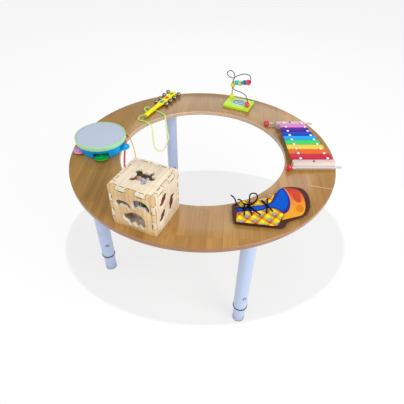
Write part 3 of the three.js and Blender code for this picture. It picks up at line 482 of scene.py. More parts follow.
def makeWeaveGroup():
    # over and under threads, on a map that is laid along a cord
    tree, take, give = startGroup(
        "cordWeave", [("Vector", "vector"), ("Yarn", "colour"), ("Pitch", "value")],
        [("Color", "colour"), ("Roughness", "value"), ("Height", "value")])
    parts = axes(tree, take["Vector"])
    turns = []
    for way in ("ADD", "SUBTRACT"):
        slant = count(tree, "MULTIPLY", count(tree, way, parts[0], parts[1]), 2 * math.pi)
        turns.append(count(tree, "SINE", count(tree, "DIVIDE", slant, take["Pitch"])))
    thread = count(tree, "MULTIPLY_ADD", count(tree, "MULTIPLY", *turns), 0.5, 0.5)
    fleck = noise(tree, take["Vector"], 700, 2)
    value = count(tree, "MULTIPLY_ADD", thread, 0.35, count(tree, "MULTIPLY_ADD", fleck, 0.3, 0.62))
    tree.links.new(toned(tree, take["Yarn"], value), give["Color"])
    tree.links.new(count(tree, "MULTIPLY_ADD", fleck, 0.15, 0.65), give["Roughness"])
    tree.links.new(thread, give["Height"])


makeGrainGroup()
makeStaveGroup()
makePaintGroup()
makeWeaveGroup()


def paintOver(tree, shader, space, colour, look):
    film = useGroup(tree, "paintFilm", {
        "Vector": space, "Paint": colour, "Patch": look.get("patch", 45.0),
        "Change": look.get("change", 0.08),
        "Gloss": look.get("gloss", 0.35), "Scuff": look.get("scuff", 0.12)})
    wireUp(tree, shader, film, look.get("bump", 0.12))


def paintMaterial(name, look):
    material, tree, shader = newMaterial(name, look)
    paintOver(tree, shader, patternSpace(tree), screen(*look["paint"]), look)
    return material


def woodGroup(tree, space, look):
    # plain wood, or a board of staves where the look gives their length
    sockets = {"Vector": space, "Light": screen(*look["light"]), "Dark": screen(*look["dark"]),
               "Figure": look["figure"], "Bands": look.get("bands", 0.3), "Pores": look["pores"]}
    if "length" not in look:
        return useGroup(tree, "woodGrain", sockets)
    sockets.update({"Length": look["length"] * mm, "Width": look["width"] * mm, "Spread": look["spread"]})
    return useGroup(tree, "staveWood", sockets)


def woodMaterial(name, look, place, turn):
    material, tree, shader = newMaterial(name, look)
    wood = woodGroup(tree, patternSpace(tree, place, turn), look)
    rough = count(tree, "MULTIPLY_ADD", wood["Roughness"], 0.2, look["gloss"])
    wireUp(tree, shader, {"Color": wood["Color"], "Roughness": rough, "Height": wood["Height"]})
    return material


def cordMaterial(name, look):
    # one yarn, or two where the look says how far along or how low the second starts
    material, tree, shader = newMaterial(name, look)
    laid = output(tree, "ShaderNodeUVMap", uv_map="along")
    yarn = screen(*look["yarn"])
    if "farFrom" in look:
        far = spread(tree, axes(tree, laid)[1], *look["farFrom"])
        yarn = mixed(tree, far, yarn, screen(*look["farYarn"]))
    if "farBelow" in look:
        far = spread(tree, axes(tree, patternSpace(tree))[2], *look["farBelow"], 1, 0)
        yarn = mixed(tree, far, yarn, screen(*look["farYarn"]))
    weave = useGroup(tree, "cordWeave", {"Vector": laid, "Yarn": yarn, "Pitch": look["pitch"] * mm})
    wireUp(tree, shader, weave, 0.5, 0.3)
    return material


# Camera

camera = {"place": (0.48135, -1.1011, 1.32975), "turn": (48.1746, -0.9689, 24.4133), "lens": 33.018}
bpy.ops.object.select_all(action="DESELECT")
bpy.ops.object.camera_add(location=camera["place"], rotation=[math.radians(a) for a in camera["turn"]])
bpy.context.object.data.lens = camera["lens"]
bpy.context.object.data.sensor_width = 36
bpy.context.scene.camera = bpy.context.object


# Cords. The straps' routes are counted in steps of a grid, as (out, left, up) from a frame.

drumPlace = {"x": -363.04, "y": -145.21, "turn": 0}
stickPlace = {"x": -329.3, "y": 125.5, "turn": -1.73}
shoePlace = {"x": 335.0, "y": -220.0, "turn": 30}
strapGrid = 10
openingRadius = 315


def routeIn(corner, turn, steps):
    route = []
    for out, left, up in steps:
        x, y = spinXY(out, left, turn)
        route.append(Vector(corner) + Vector((x, y, up)) * strapGrid)
    return route


def edgeCorner(angle):
    return (*spinXY(openingRadius, 0, angle), tableTop)


def evenly(line, spacing):
    # the line again, with points an even distance apart
    lengths = [0]
    for here, there in zip(line, line[1:]):
        lengths.append(lengths[-1] + (there - here).length)
    total = max(2, round(lengths[-1] / spacing))
    even, k = [], 0
    for i in range(total + 1):
        wanted = lengths[-1] * i / total
        while k < len(line) - 2 and lengths[k + 1] < wanted:
            k += 1
        share = (wanted - lengths[k]) / max(lengths[k + 1] - lengths[k], 1e-9)
        even.append(line[k].lerp(line[k + 1], min(1, share)))
    return even, lengths[-1]


def cordPiece(name, line, width, thickness, facings, sides=10):
    # a flat or round cord: an oval laid along the line, its flat side towards the facings
    points, faces, along = [], [], 0
    runs = [0]
    for i, here in enumerate(line):
        ahead = (line[min(i + 1, len(line) - 1)] - line[max(i - 1, 0)]).normalized()
        across = ahead.cross(facings[i]).normalized()
        up = across.cross(ahead)
        if i:
            along += (here - line[i - 1]).length
            runs.append(along)
        for k in range(sides):
            angle = 2 * math.pi * k / sides
            beside = across * math.cos(angle) * width / 2
            points.append((here + beside + up * math.sin(angle) * thickness / 2) * mm)
    for i in range(len(line) - 1):
        for k in range(sides):
            j = (k + 1) % sides
            faces.append((i * sides + k, i * sides + j, (i + 1) * sides + j, (i + 1) * sides + k))
    faces.append(tuple(range(sides)))
    last = (len(line) - 1) * sides
    faces.append(tuple(last + k for k in reversed(range(sides))))
    mesh = bpy.data.meshes.new(name)
    mesh.from_pydata(points, [], faces)
    laid = mesh.uv_layers.new(name="along")
    girth = math.pi * (width + thickness) / 2
    for face in mesh.polygons:
        for loop in face.loop_indices:
            vertex = mesh.loops[loop].vertex_index
            ring, side = divmod(vertex, sides)
            if side == 0 and face.index % sides == sides - 1 and face.index < len(faces) - 2:
                side = sides
            laid.data[loop].uv = (side / sides * girth * mm, runs[ring] * mm)
    piece = bpy.data.objects.new(name, mesh)
    bpy.context.scene.collection.objects.link(piece)
    pickOnly(piece)
    startEdit()
    bpy.ops.mesh.select_all(action="SELECT")
    bpy.ops.mesh.normals_make_consistent(inside=False)
    endEdit()
    return piece


def smoothed(facings, rounds):
    for _ in range(rounds):
        facings = [facings[max(i - 1, 0)] + facings[i] * 2 + facings[min(i + 1, len(facings) - 1)]
                   for i in range(len(facings))]
        facings = [facing.normalized() for facing in facings]
    return facings


def strapFacings(line, hanging):
    # flat on the board, and towards a side that changes from one hanging strand to the other
    first, second, change = hanging
    facings = []
    for i, here in enumerate(line):
        over = here.z > tableTop - 1.5 and math.hypot(here.x, here.y) > openingRadius - 6
        hung = first if i / len(line) < change else second
        facings.append(Vector((0, 0, 1) if over else hung))
    return smoothed(facings, 14)


def strap(name, route, look, body, replaced):
    line, length = evenly(smoothLine(route), look["spacing"])
    flat = [Vector((p.x, p.y, tableTop + (p.z - tableTop) * look["settled"] + 0.2))
            if tableTop < p.z < tableTop + 4 and math.hypot(p.x, p.y) > openingRadius else p for p in line]
    piece = cordPiece(name, flat, look["width"], look["thickness"], strapFacings(flat, look["hanging"]))
    finishPiece(piece, body, cordMaterial(name, look), replaced)
    path = [point * mm for point in flat]
    return piece, path, length * mm


drumStrap = {
    "width": 7.2, "thickness": 3.2, "spacing": 4, "settled": 0.5, "yarn": (226, 84, 40),
    "farYarn": (242, 166, 76), "farFrom": (0.19, 0.22), "pitch": 1.6, "sheen": 0.1,
    "hanging": ((0.55, -0.83, 0), (0.93, 0.37, 0), 0.55), "holeAngle": 51, "edgeAngle": 201.8,
    "hole": (-309.04, -78.53, tableTop + 14),
    "atHole": [(-0.85, 0, 0), (0, 0, 0), (0.56, -0.13, -0.5)],
    "atEdge": [
        (-0.79, -3.45, -0.5), (-0.75, -0.67, -2), (-0.99, 2.23, -3.8), (-1.27, 4.49, -6.2),
        (-1.79, 4.27, -9), (-2.64, 1.6, -11.8), (-3.29, -1.37, -12.4), (-3.7, -4.01, -10.8),
        (-3.48, -5.61, -7.8), (-2.87, -6.5, -4), (-2.33, -6.5, -1.2), (-1.94, -6.87, 0.1),
        (-0.66, -8.78, 0.34), (0.7, -10.51, 0.31), (2, -11.03, 0.31)]}
drumRoute = routeIn(drumStrap["hole"], drumStrap["holeAngle"], drumStrap["atHole"]) \
    + routeIn(edgeCorner(drumStrap["edgeAngle"]), drumStrap["edgeAngle"], drumStrap["atEdge"])
drumStrapPiece, drumPath, drumStrapLength = strap(
    "drumStrap", drumRoute, drumStrap, "drum", ["drum_strap"])

stickStrap = {
    "width": 7.6, "thickness": 3, "spacing": 4, "settled": 0.5, "yarn": (184, 236, 96),
    "farYarn": (226, 242, 176), "farBelow": (0.506, 0.523), "pitch": 1.6, "sheen": 0.1,
    "hanging": ((0.75, -0.6, 0.2), (0.55, -0.8, 0.2), 0.5), "eyeTurn": -1.73, "edgeAngle": 159.14,
    "eye": (-329.57, 116.49, tableTop + 10.8),
    "fromEye": [
        (-0.03, -0.06, 0), (-0.1, -0.14, 0.45), (-0.38, -0.6, 0.82), (-1.3, -1.16, 0.6),
        (-1.96, -1.73, -0.15), (-1.51, -2.28, -0.72), (-0.34, -2.5, -0.77)],
    "atEdge": [
        (1.57, 2.54, 0.32), (0.54, 2.41, 0.34), (-0.35, 2.24, 0.15), (-1.2, 1.91, -0.6),
        (-2.23, 1.53, -1.9), (-2.48, 1.64, -5.3), (-2.52, 1.74, -8.3), (-2.44, 1.23, -11.4),
        (-2.25, -0.09, -14), (-2.08, -1.95, -15.6), (-1.87, -3.9, -16.1), (-1.63, -5.64, -15.3),
        (-1.53, -6.77, -13), (-1.41, -7.91, -10.7), (-1.47, -7.18, -7.6), (-1.53, -6.77, -4.1),
        (-1.47, -6.64, -1.5), (-1.24, -6.83, -0.35), (-0.79, -6.91, 0.42), (0.01, -7.15, 0.38),
        (0.97, -7.43, 0.32), (3.13, -7.45, 0.31)],
    "toEye": [
        (1.28, 7.93, -0.77), (-0.52, 8.01, -0.77), (-2.42, 8.51, -0.77), (-4.12, 9.2, -0.77),
        (-5.02, 8.5, -0.77), (-4.71, 7.1, -0.77), (-3.5, 6.01, -0.77), (-1.84, 4.67, -0.77),
        (-0.54, 2.78, -0.77), (-0.07, 1.09, -0.77), (-0.04, 0.35, -0.68), (-0.03, -0.04, -0.42)]}
stickRoute = routeIn(stickStrap["eye"], stickStrap["eyeTurn"], stickStrap["fromEye"]) \
    + routeIn(edgeCorner(stickStrap["edgeAngle"]), stickStrap["edgeAngle"], stickStrap["atEdge"]) \
    + routeIn(stickStrap["eye"], stickStrap["eyeTurn"], stickStrap["toEye"])
stickStrapPiece, stickPath, stickStrapLength = strap(
    "stickStrap", stickRoute, stickStrap, "stick", ["stick_strap"])

# The lace's free ends lie on the stitches, as shares of the shoe's length and width.
shoeSize = {"left": -123.7, "front": -84.8, "length": 263, "width": 184, "bottom": 5, "thickness": 10}
shoeTop = shoeSize["bottom"] + shoeSize["thickness"]
lace = {
    "diameter": 4.4, "spacing": 2.2, "yarn": (6, 6, 8), "pitch": 1.1, "specular": 0.15, "rise": 3.4,
    "knot": (0.211, 0.525),
    "looseEnd": [
        (0.168, 0.441), (0.133, 0.452), (0.092, 0.504), (0.065, 0.589), (0.065, 0.665), (0.05, 0.759),
        (0.023, 0.812)],
    "bowLoop": [
        (0.239, 0.672), (0.259, 0.787), (0.3, 0.835), (0.345, 0.804), (0.339, 0.69), (0.292, 0.596),
        (0.261, 0.553)],
    "smallLoop": [(0.15, 0.56), (0.131, 0.638), (0.114, 0.668), (0.089, 0.67)]}
laceMaterial = cordMaterial("lace", lace)


def shoeSpot(share):
    return shoeSize["left"] + share[0] * shoeSize["length"], shoeSize["front"] + share[1] * shoeSize["width"]


def onShoe(share, z):
    return Vector(onRing(shoePlace, *shoeSpot(share), z))


def laceRun(name, points):
    line, length = evenly(smoothLine(points), lace["spacing"])
    facings = smoothed([Vector((0.01, 0.02, 1))] * len(line), 1)
    return cordPiece(name, line, lace["diameter"], lace["diameter"], facings), line, length


def freeLace(name, shares, closed, lift):
    height = shoeTop + lace["diameter"] / 2 + lace["rise"] + lift
    route = [onShoe(lace["knot"], height)] + [onShoe(share, height) for share in shares]
    if closed:
        route.append(onShoe((lace["knot"][0] + 0.02, lace["knot"][1] + 0.01), height))
    piece, line, length = laceRun(name, route)
    finishPiece(piece, "shoe", laceMaterial, ["shoe_lace"])


freeLace("laceLooseEnd", lace["looseEnd"], False, 0)
freeLace("laceBowLoop", lace["bowLoop"], True, 0)
freeLace("laceSmallLoop", lace["smallLoop"], False, 3)
print("camera and cords")


# Light and floor

light = {
    "key": {"place": (2.3, -0.9, 2.1), "size": 1.7, "power": 55},
    "fill": {"place": (-1.2, -2.0, 2.0), "size": 2.2, "power": 20},
    "back": {"place": (-0.6, 2.2, 2.2), "size": 2.0, "power": 16},
    "world": 0.55, "shine": 0.36, "floor": (255, 255, 255), "floorGlow": 0.8,
    # painted shadow: a pale grey disc on the floor under the table, with a soft rim
    "paintedShadow": (242, 242, 242), "paintedShadowPlace": (-2, 68, 0), "paintedShadowTurn": (0, 0, 27), "paintedShadowReach": (674, 503),
    "paintedShadowSoft": 0.012}


def makeLamp(name, look):
    direction = Vector((0, 0, 0.45)) - Vector(look["place"])
    bpy.ops.object.select_all(action="DESELECT")
    bpy.ops.object.light_add(type="AREA", location=look["place"],
                             rotation=direction.to_track_quat("-Z", "Y").to_euler())
    lamp = bpy.context.object
    lamp.name = name
    lamp.data.size = look["size"]
    lamp.data.energy = look["power"]


for lampName in ("key", "fill", "back"):
    makeLamp(lampName, light[lampName])


def seen(tree):
    # one where the camera looks straight at the floor or the sky
    path = node(tree, "ShaderNodeLightPath").outputs
    return count(tree, "MAXIMUM", path["Is Camera Ray"], path["Is Transmission Ray"])


world = bpy.data.worlds.new("studio")
bpy.context.scene.world = world
world.use_nodes = True
sky = world.node_tree
glossy = node(sky, "ShaderNodeLightPath").outputs["Is Glossy Ray"]
level = spread(sky, glossy, 0, 1, light["world"], light["shine"])
level = count(sky, "ADD", level, count(sky, "MULTIPLY", seen(sky), 1 - light["world"]))
glow = node(sky, "ShaderNodeBackground", {"Color": (1, 1, 1, 1), "Strength": level})
skyOut = next(n for n in sky.nodes if n.type == "OUTPUT_WORLD")
sky.links.new(glow.outputs[0], skyOut.inputs["Surface"])

bpy.ops.object.select_all(action="DESELECT")
bpy.ops.mesh.primitive_plane_add(size=24, location=(0, 0, 0))
floor = namePiece(bpy.context.object, "studioFloor")


def floorMaterial():
    material, tree, shader = newMaterial("studioFloor", {"specular": 0.1})
    # a pale grey disc is painted under the table as its shadow, and the rest of the floor is white
    around = patternSpace(tree, light["paintedShadowPlace"], light["paintedShadowTurn"])
    reach = [1 / (side * mm) for side in light["paintedShadowReach"]]
    away = reachOf(tree, stretched(tree, around, (*reach, 0)))
    paintedShadow = spread(tree, away, 1 - light["paintedShadowSoft"], 1 + light["paintedShadowSoft"], 1, 0)
    colour = mixed(tree, paintedShadow, screen(*light["floor"]), screen(*light["paintedShadow"]))
    fill(tree, shader, {"Base Color": colour, "Roughness": 0.9})
    glow = node(tree, "ShaderNodeEmission", {"Color": colour, "Strength": 1.0})
    share = count(tree, "MULTIPLY", seen(tree), light["floorGlow"])
    both = node(tree, "ShaderNodeMixShader", {0: share, 1: shader.outputs[0], 2: glow.outputs[0]})
    out = next(n for n in tree.nodes if n.type == "OUTPUT_MATERIAL")
    tree.links.new(both.outputs[0], out.inputs["Surface"])
    return material


floor.data.materials.append(floorMaterial())
print("light and floor")


# Ring board

ring = {
    "inner": openingRadius, "outer": 500, "thickness": 18, "round": 3, "sides": 180, "grainTurn": 110,
    "light": (187, 142, 78), "dark": (154, 109, 52), "length": 330, "width": 47, "spread": 0.2,
    "bands": 0.12, "figure": 30.0, "pores": 0.3, "gloss": 0.3, "coat": 0.65, "coatGloss": 0.14,
    "coatDepth": 1.7, "specular": 0.12, "knot": (96, 58, 32), "fleck": (118, 76, 42),
    "paintedShadeOlive": (250, 255, 208), "layers": (506.5, 513.5),
    "edge": {"paint": (150, 104, 76), "line": (68, 40, 26), "grain": 0.35, "reach": (497.8, 498.8)},
    "wall": {"paint": (214, 186, 158), "line": (120, 84, 62), "grain": 0.25, "reach": (317.2, 316.2)},
    "seam": {"paint": (238, 214, 180), "place": (0, -11, 0), "turn": 10.5, "across": -98.5,
             "from": 405, "to": 415}}


def ringMaterial():
    material, tree, shader = newMaterial("lacqueredBeech", ring)
    space = patternSpace(tree, turn=(0, 0, ring["grainTurn"]))
    wood = woodGroup(tree, space, ring)
    own = patternSpace(tree)
    parts = axes(tree, own)
    away = reachOf(tree, output(tree, "ShaderNodeCombineXYZ", {0: parts[0], 1: parts[1]}))
    # small dark knots, one in some of the cells
    cells = node(tree, "ShaderNodeTexVoronoi", {
        "Vector": stretched(tree, space, (0.55, 1, 1)), "Scale": 15.0})
    chance = output(tree, "ShaderNodeSeparateColor", {0: cells.outputs["Color"]})
    spots = spread(tree, cells.outputs["Distance"], 0.02, 0.06, 1, 0)
    knot = count(tree, "MULTIPLY", spots, spread(tree, chance, 0.7, 0.72))
    colour = mixed(tree, count(tree, "MULTIPLY", knot, 0.75), wood["Color"], screen(*ring["knot"]))
    # dark strokes along the grain, in patches
    strokes = spread(tree, noise(tree, stretched(tree, space, (0.22, 1, 1)), 70.0, 3, 0.6, 0.4), 0.6, 0.7)
    strokes = count(tree, "MULTIPLY", strokes, spread(tree, noise(tree, own, 6.5, 2), 0.53, 0.62))
    colour = mixed(tree, count(tree, "MULTIPLY", strokes, 0.5), colour, screen(*ring["fleck"]))
    # painted shade: an olive tint over the left of the board, strongest at the front left under the drum,
    # then a slow change of tone over the whole board
    nearLeft = spread(tree, parts[1], -0.1, 0.25, 1, 0.2)
    left = count(tree, "MULTIPLY", spread(tree, parts[0], -0.45, 0.05, 1, 0), nearLeft)
    colour = mixed(tree, left, colour, screen(*ring["paintedShadeOlive"]), "MULTIPLY")
    colour = toned(tree, colour, spread(tree, noise(tree, own, 2.4, 2), 0.35, 0.65, 0.93, 1.06))
    # the pale seam between two boards
    seam = ring["seam"]
    seamParts = axes(tree, patternSpace(tree, seam["place"], (0, 0, seam["turn"])))
    line = count(tree, "MULTIPLY", lineAt(tree, seamParts[1], seam["across"], (0.7, 1.6), 0.7),
                 spread(tree, seamParts[0], seam["from"] * mm, seam["to"] * mm))
    colour = mixed(tree, line, colour, screen(*seam["paint"]))
    # the outer edge shows the board's layers, and the wall of the opening is pale
    layers = [lineAt(tree, parts[2], height, (0.6, 1.3), 0.85) for height in ring["layers"]]
    layers = count(tree, "MAXIMUM", *layers)
    for look in (ring["edge"], ring["wall"]):
        face = mixed(tree, layers, screen(*look["paint"]), screen(*look["line"]))
        face = mixed(tree, look["grain"], face, wood["Color"])
        reach = [distance * mm for distance in look["reach"]]
        colour = mixed(tree, spread(tree, away, *reach), colour, face)
    rough = count(tree, "MULTIPLY_ADD", wood["Roughness"], 0.15, ring["gloss"])
    wireUp(tree, shader, {"Color": colour, "Roughness": rough, "Height": wood["Height"]}, 0.1, 0.3)
    return material


ringProfile = roundedBox(ring["inner"], ring["outer"], tableTop - ring["thickness"], tableTop, ring["round"])
ringPiece = turnedPiece("ringBoard", ringProfile, ring["sides"], True)
finishPiece(ringPiece, "table", ringMaterial(), ["table_ring"])
print("ring board")


# Legs

leg = {
    "circle": 428, "first": 45, "names": ("back_right", "back_left", "front_left", "front_right"),
    "sides": 56, "outerRadius": 26, "bore": 24, "flange": 50, "flangeTop": 502.7, "bottom": 85,
    "bushBore": 22.8, "bushTop": 115, "innerRadius": 22.5, "innerBore": 20.5, "innerBottom": 10.3,
    "innerTop": 330, "screwCircle": 38, "buttonHeight": 158, "buttonFacing": -45, "buttonRadius": 4.2,
    "keyway": (89.6, 296.4, 4.8)}
enamel = {"paint": (176, 192, 222), "gloss": 0.3, "patch": 14.0, "change": 0.05, "coat": 0.3, "scuff": 0.08,
          "specular": 0.4}
darkTrim = {"paint": (12, 15, 38), "gloss": 0.5, "change": 0.1, "scuff": 0.04, "specular": 0.25}
screwMetal = {"paint": (150, 150, 152), "gloss": 0.3, "metal": 1.0, "change": 0.15}
footLook = {"paint": (172, 182, 204), "base": (34, 38, 54), "gloss": 0.55, "baseTop": 5.0, "patch": 60.0,
            "change": 0.1, "scuff": 0.2, "bump": 0.2}

enamelMaterial = paintMaterial("legEnamel", enamel)
trimMaterial = paintMaterial("darkTrim", darkTrim)
screwMaterial = paintMaterial("screwMetal", screwMetal)


def footMaterial():
    material, tree, shader = newMaterial("footRubber", footLook)
    space = patternSpace(tree)
    top = footLook["baseTop"]
    low = spread(tree, axes(tree, space)[2], (top - 0.3) * mm, top * mm, 1, 0)
    colour = mixed(tree, low, screen(*footLook["paint"]), screen(*footLook["base"]))
    paintOver(tree, shader, space, colour, footLook)
    return material


def alongButton(piece):
    # lays an upright piece along the lock button's axis
    settle(piece, turn=(0, 90, 0))
    return settle(piece, (0, 0, leg["buttonHeight"]), (0, 0, leg["buttonFacing"]))


def makeOuterTube():
    # with the flange under the board and the narrow bush at the lower end
    top, under = leg["flangeTop"], leg["flangeTop"] - 3
    flange, radius, bore, bottom = leg["flange"], leg["outerRadius"], leg["bore"], leg["bottom"]
    profile = [(0, top), (flange - 0.8, top), (flange, top - 0.8), (flange, under + 0.6),
               (flange - 0.6, under), (30.5, under), (28.4, under - 0.7), (27, under - 2), (26.2, under - 4),
               (radius, under - 6), (radius, bottom + 0.3), (radius - 0.3, bottom),
               (leg["bushBore"], bottom), (leg["bushBore"], leg["bushTop"]), (bore, leg["bushTop"]),
               (bore, under), (0, under)]
    hole = alongButton(rodPiece("buttonCutter", leg["buttonRadius"] + 0.3, 0, 40))
    return cutAway(turnedPiece("outerTube", profile, leg["sides"]), hole)


def makeInnerTube():
    profile = roundedBox(leg["innerBore"], leg["innerRadius"], leg["innerBottom"], leg["innerTop"], 0.5, 2)
    bottom, top, half = leg["keyway"]
    slot = boxPiece("keyCutter", (0, -half, bottom), (40, half, top), 3)
    settle(slot, turn=(0, 0, leg["buttonFacing"]))
    return cutAway(turnedPiece("innerTube", profile, leg["sides"], True), slot)


def makeFoot():
    profile = [(0, 0), (20.8, 0), (22.6, 0.7), (23.5, 2.2), (23.5, 4.6), (23.1, 5), (23.5, 5.4), (23.5, 9.2),
               (22.9, 10), (20.2, 10), (20.2, 25.4), (19.6, 26), (0, 26)]
    return turnedPiece("foot", profile, leg["sides"])


def makeButton():
    profile = [(0, 14.6), (7, 14.6), (7.5, 15), (7.5, 16.6), (7, 17), (4.2, 17), (4.2, 26.2), (3.9, 26.9),
               (3, 27.4), (1.6, 27.6), (0, 27.6)]
    return alongButton(turnedPiece("lockButton", profile, 32))


def makeButtonRim():
    # a dark rim round the button's hole; its dark colour is partly painted shade for the gap round the
    # button
    profile = [(4.4, 24.4), (6.8, 24.4), (6.8, 26.2), (6.3, 26.7), (5, 26.7), (4.4, 26.2)]
    return alongButton(turnedPiece("buttonRim", profile, 32, True))


def makeBushRing():
    # the dark plastic collar at the outer tube's lower end
    bore = leg["bushBore"]
    profile = [(bore, 83.6), (26.4, 83.6), (27.4, 84.1), (27.8, 84.9), (27.8, 88.1), (27.4, 88.8),
               (26.6, 89), (26.02, 89), (26.02, 84.95), (bore, 84.95)]
    return turnedPiece("bushRing", profile, leg["sides"], True)


def makeFlangeScrews():
    profile = [(0, 497.2), (1.6, 497), (3.4, 497.6), (4.4, 498.8), (4.6, 499.6), (0, 499.6)]
    screws = []
    for i in range(4):
        screw = turnedPiece("flangeScrew", profile, 20)
        cross = [boxPiece("screwSlot", (-half[0], -half[1], 496), (half[0], half[1], 498), 0.1, 1)
                 for half in ((2.4, 0.5), (0.5, 2.4))]
        cutAway(screw, *cross)
        screws.append(settle(screw, (*spinXY(leg["screwCircle"], 0, 45 + 90 * i), 0)))
    return joinPieces("flangeScrews", screws)


legParts = [
    (makeOuterTube(), "outer_tube_", "table", enamelMaterial, "tube_enamel", True),
    (makeInnerTube(), "inner_tube_", "leg_", enamelMaterial, "tube_enamel", True),
    (makeFoot(), "foot_", "leg_", footMaterial(), "foot_rubber", True),
    (makeButton(), "lock_button_", "button_", enamelMaterial, "tube_enamel", True),
    (makeButtonRim(), "", "table", trimMaterial, "foot_rubber", False),
    (makeBushRing(), "", "table", trimMaterial, "foot_rubber", False),
    (makeFlangeScrews(), "", "table", screwMaterial, "bell_metal", False)]
for number, corner in enumerate(leg["names"]):
    spot = spinXY(leg["circle"], 0, leg["first"] + 90 * number)
    for model, nodePrefix, body, material, slotName, stands in legParts:
        piece = settle(copyOf(model, model.name.split(".")[0] + "_" + corner), (*spot, 0))
        finishPiece(piece, body if body == "table" else body + corner, material,
                    [nodePrefix + corner] if stands else [])
drop(*[model for model, *rest in legParts])
print("legs")


# Hand drum

drum = {
    "sides": 96, "jingleFirst": 15.6, "pinCircle": 84.7, "jingleHeight": 9.8, "holeAngle": 51,
    "holeHeight": 14,
    "shell": {"paint": (0, 156, 232), "gloss": 0.4, "coat": 0.1, "change": 0.06, "specular": 0.1},
    "hoop": {"paint": (166, 222, 168), "gloss": 0.32, "coat": 0.2, "change": 0.05, "specular": 0.3},
    "pin": {"paint": (190, 190, 192), "gloss": 0.25, "metal": 1.0},
    "skin": {"paint": (186, 197, 214), "gloss": 0.5, "change": 0.03, "patch": 9.0, "bump": 0.2,
             "specular": 0.2},
    "jingles": (("jingle_cyan", (0, 176, 238)), ("jingle_yellow", (240, 192, 32)),
                ("jingle_orange", (232, 106, 42)), ("jingle_pink", (240, 162, 222)),
                ("jingle_green", (0, 172, 70)))}


def makeDrumShell():
    profile = [(80.4, 0.3), (82.5, 0.3), (83.1, 0.9), (84.4, 7), (87, 20), (91, 40), (91, 52.5),
               (90.6, 52.9), (88.4, 52.9), (88, 52.5), (88, 40), (84, 20), (80, 0.7)]
    shell = turnedPiece("drumShell", profile, drum["sides"], True)
    cutters = []
    for i in range(5):
        slot = boxPiece("jingleSlot", (56, -28, 5), (100, 28, 27), 3.5, 4)
        cutters.append(settle(slot, turn=(0, 0, drum["jingleFirst"] + 72 * i)))
    hole = settle(rodPiece("cordHole", 6.2, 74, 100), turn=(0, 90, 0))
    cutters.append(settle(hole, (0, 0, drum["holeHeight"]), (0, 0, drum["holeAngle"])))
    return cutAway(shell, *cutters)


def makeJingle():
    upper = [(2.3, 4.1), (2.8, 4.5), (7.4, 4.5), (8.8, 4), (10, 3), (12, 2.2), (17, 1.8), (19, 2),
             (20.4, 2.5), (22, 2.6), (23.4, 2.2), (24.5, 1.4), (25, 0.5)]
    profile = upper + [(radius, -height) for radius, height in reversed(upper)]
    return turnedPiece("jingle", profile, 56, True)


drumShell = standOn(makeDrumShell(), drumPlace)
finishPiece(drumShell, "drum", paintMaterial("drumShellBlue", drum["shell"]), ["drum_shell"])
hoopProfile = [
    (91.3, 40), (94.1, 40), (94.8, 40.7), (94.8, 46.4), (94.3, 47), (94.8, 47.6), (94.8, 54), (94.2, 55.3),
    (93, 56), (91.2, 56), (90.2, 55.7), (89.8, 55.1), (89.8, 54.8), (90.1, 54.5), (91.3, 54.5)]
drumHoop = standOn(turnedPiece("drumHoop", hoopProfile, drum["sides"], True), drumPlace)
finishPiece(drumHoop, "drum", paintMaterial("hoopGreen", drum["hoop"]), ["drum_hoop"])
skinProfile = [
    (0, 53.2), (90.4, 53.2), (91, 53.5), (91, 53.9), (90.6, 54.2), (88, 54.2), (80, 54.35), (60, 54.5),
    (30, 54.6), (0, 54.65)]
drumSkin = standOn(turnedPiece("drumSkin", skinProfile, drum["sides"]), drumPlace)
finishPiece(drumSkin, "drum", paintMaterial("drumSkinFilm", drum["skin"]), ["drum_skin"])
jingleModel = makeJingle()
pins = []
for number, (slotName, paint) in enumerate(drum["jingles"]):
    azimuth = drum["jingleFirst"] + 72 * number
    spot = (*spinXY(drum["pinCircle"], 0, azimuth), drum["jingleHeight"])
    jingle = settle(copyOf(jingleModel, slotName.replace("jingle_", "jingle.")), spot)
    standOn(jingle, drumPlace)
    look = {"paint": paint, "gloss": 0.3, "coat": 0.25, "change": 0.06, "specular": 0.3}
    finishPiece(jingle, "jingle_%d" % (number + 1), paintMaterial(slotName, look),
                ["drum_jingle_%d" % (number + 1)])
    pins.append(settle(rodPiece("jinglePin", 1.8, 3, 29, 16), (*spot[:2], 0)))
drop(jingleModel)
jinglePins = standOn(joinPieces("jinglePins", pins), drumPlace)
finishPiece(jinglePins, "drum", paintMaterial("pinMetal", drum["pin"]))
print("hand drum")


# Jingle stick

stick = {
    "length": 256, "thickness": 9, "middle": 10.8, "round": 2.2, "bellFirst": 133.9, "bellPitch": 36.7,
    "bellRadius": 10.5, "bellOffset": 28, "eye": (5.8, 1.5, -9), "paint": (255, 240, 0), "gloss": 0.4,
    "coat": 0.1, "specular": 0.1, "patch": 40.0, "change": 0.06, "scuff": 0.1,
    "marks": (((24, 186, 160), 138, 8.5, 15), ((232, 96, 0), 182, 9, 13), ((96, 178, 10), 227, 7.5, 10.5))}
bellLook = {"paint": (168, 160, 152), "gloss": 0.14, "metal": 1.0, "change": 0.25, "patch": 120.0,
            "scuff": 0.02}
bellMaterial = paintMaterial("bellNickel", bellLook)


def quadCurve(start, control, end, steps):
    line = []
    for i in range(1, steps + 1):
        t = i / steps
        line.append(tuple((1 - t) ** 2 * a + 2 * t * (1 - t) * c + t ** 2 * b
                          for a, c, b in zip(start, control, end)))
    return line


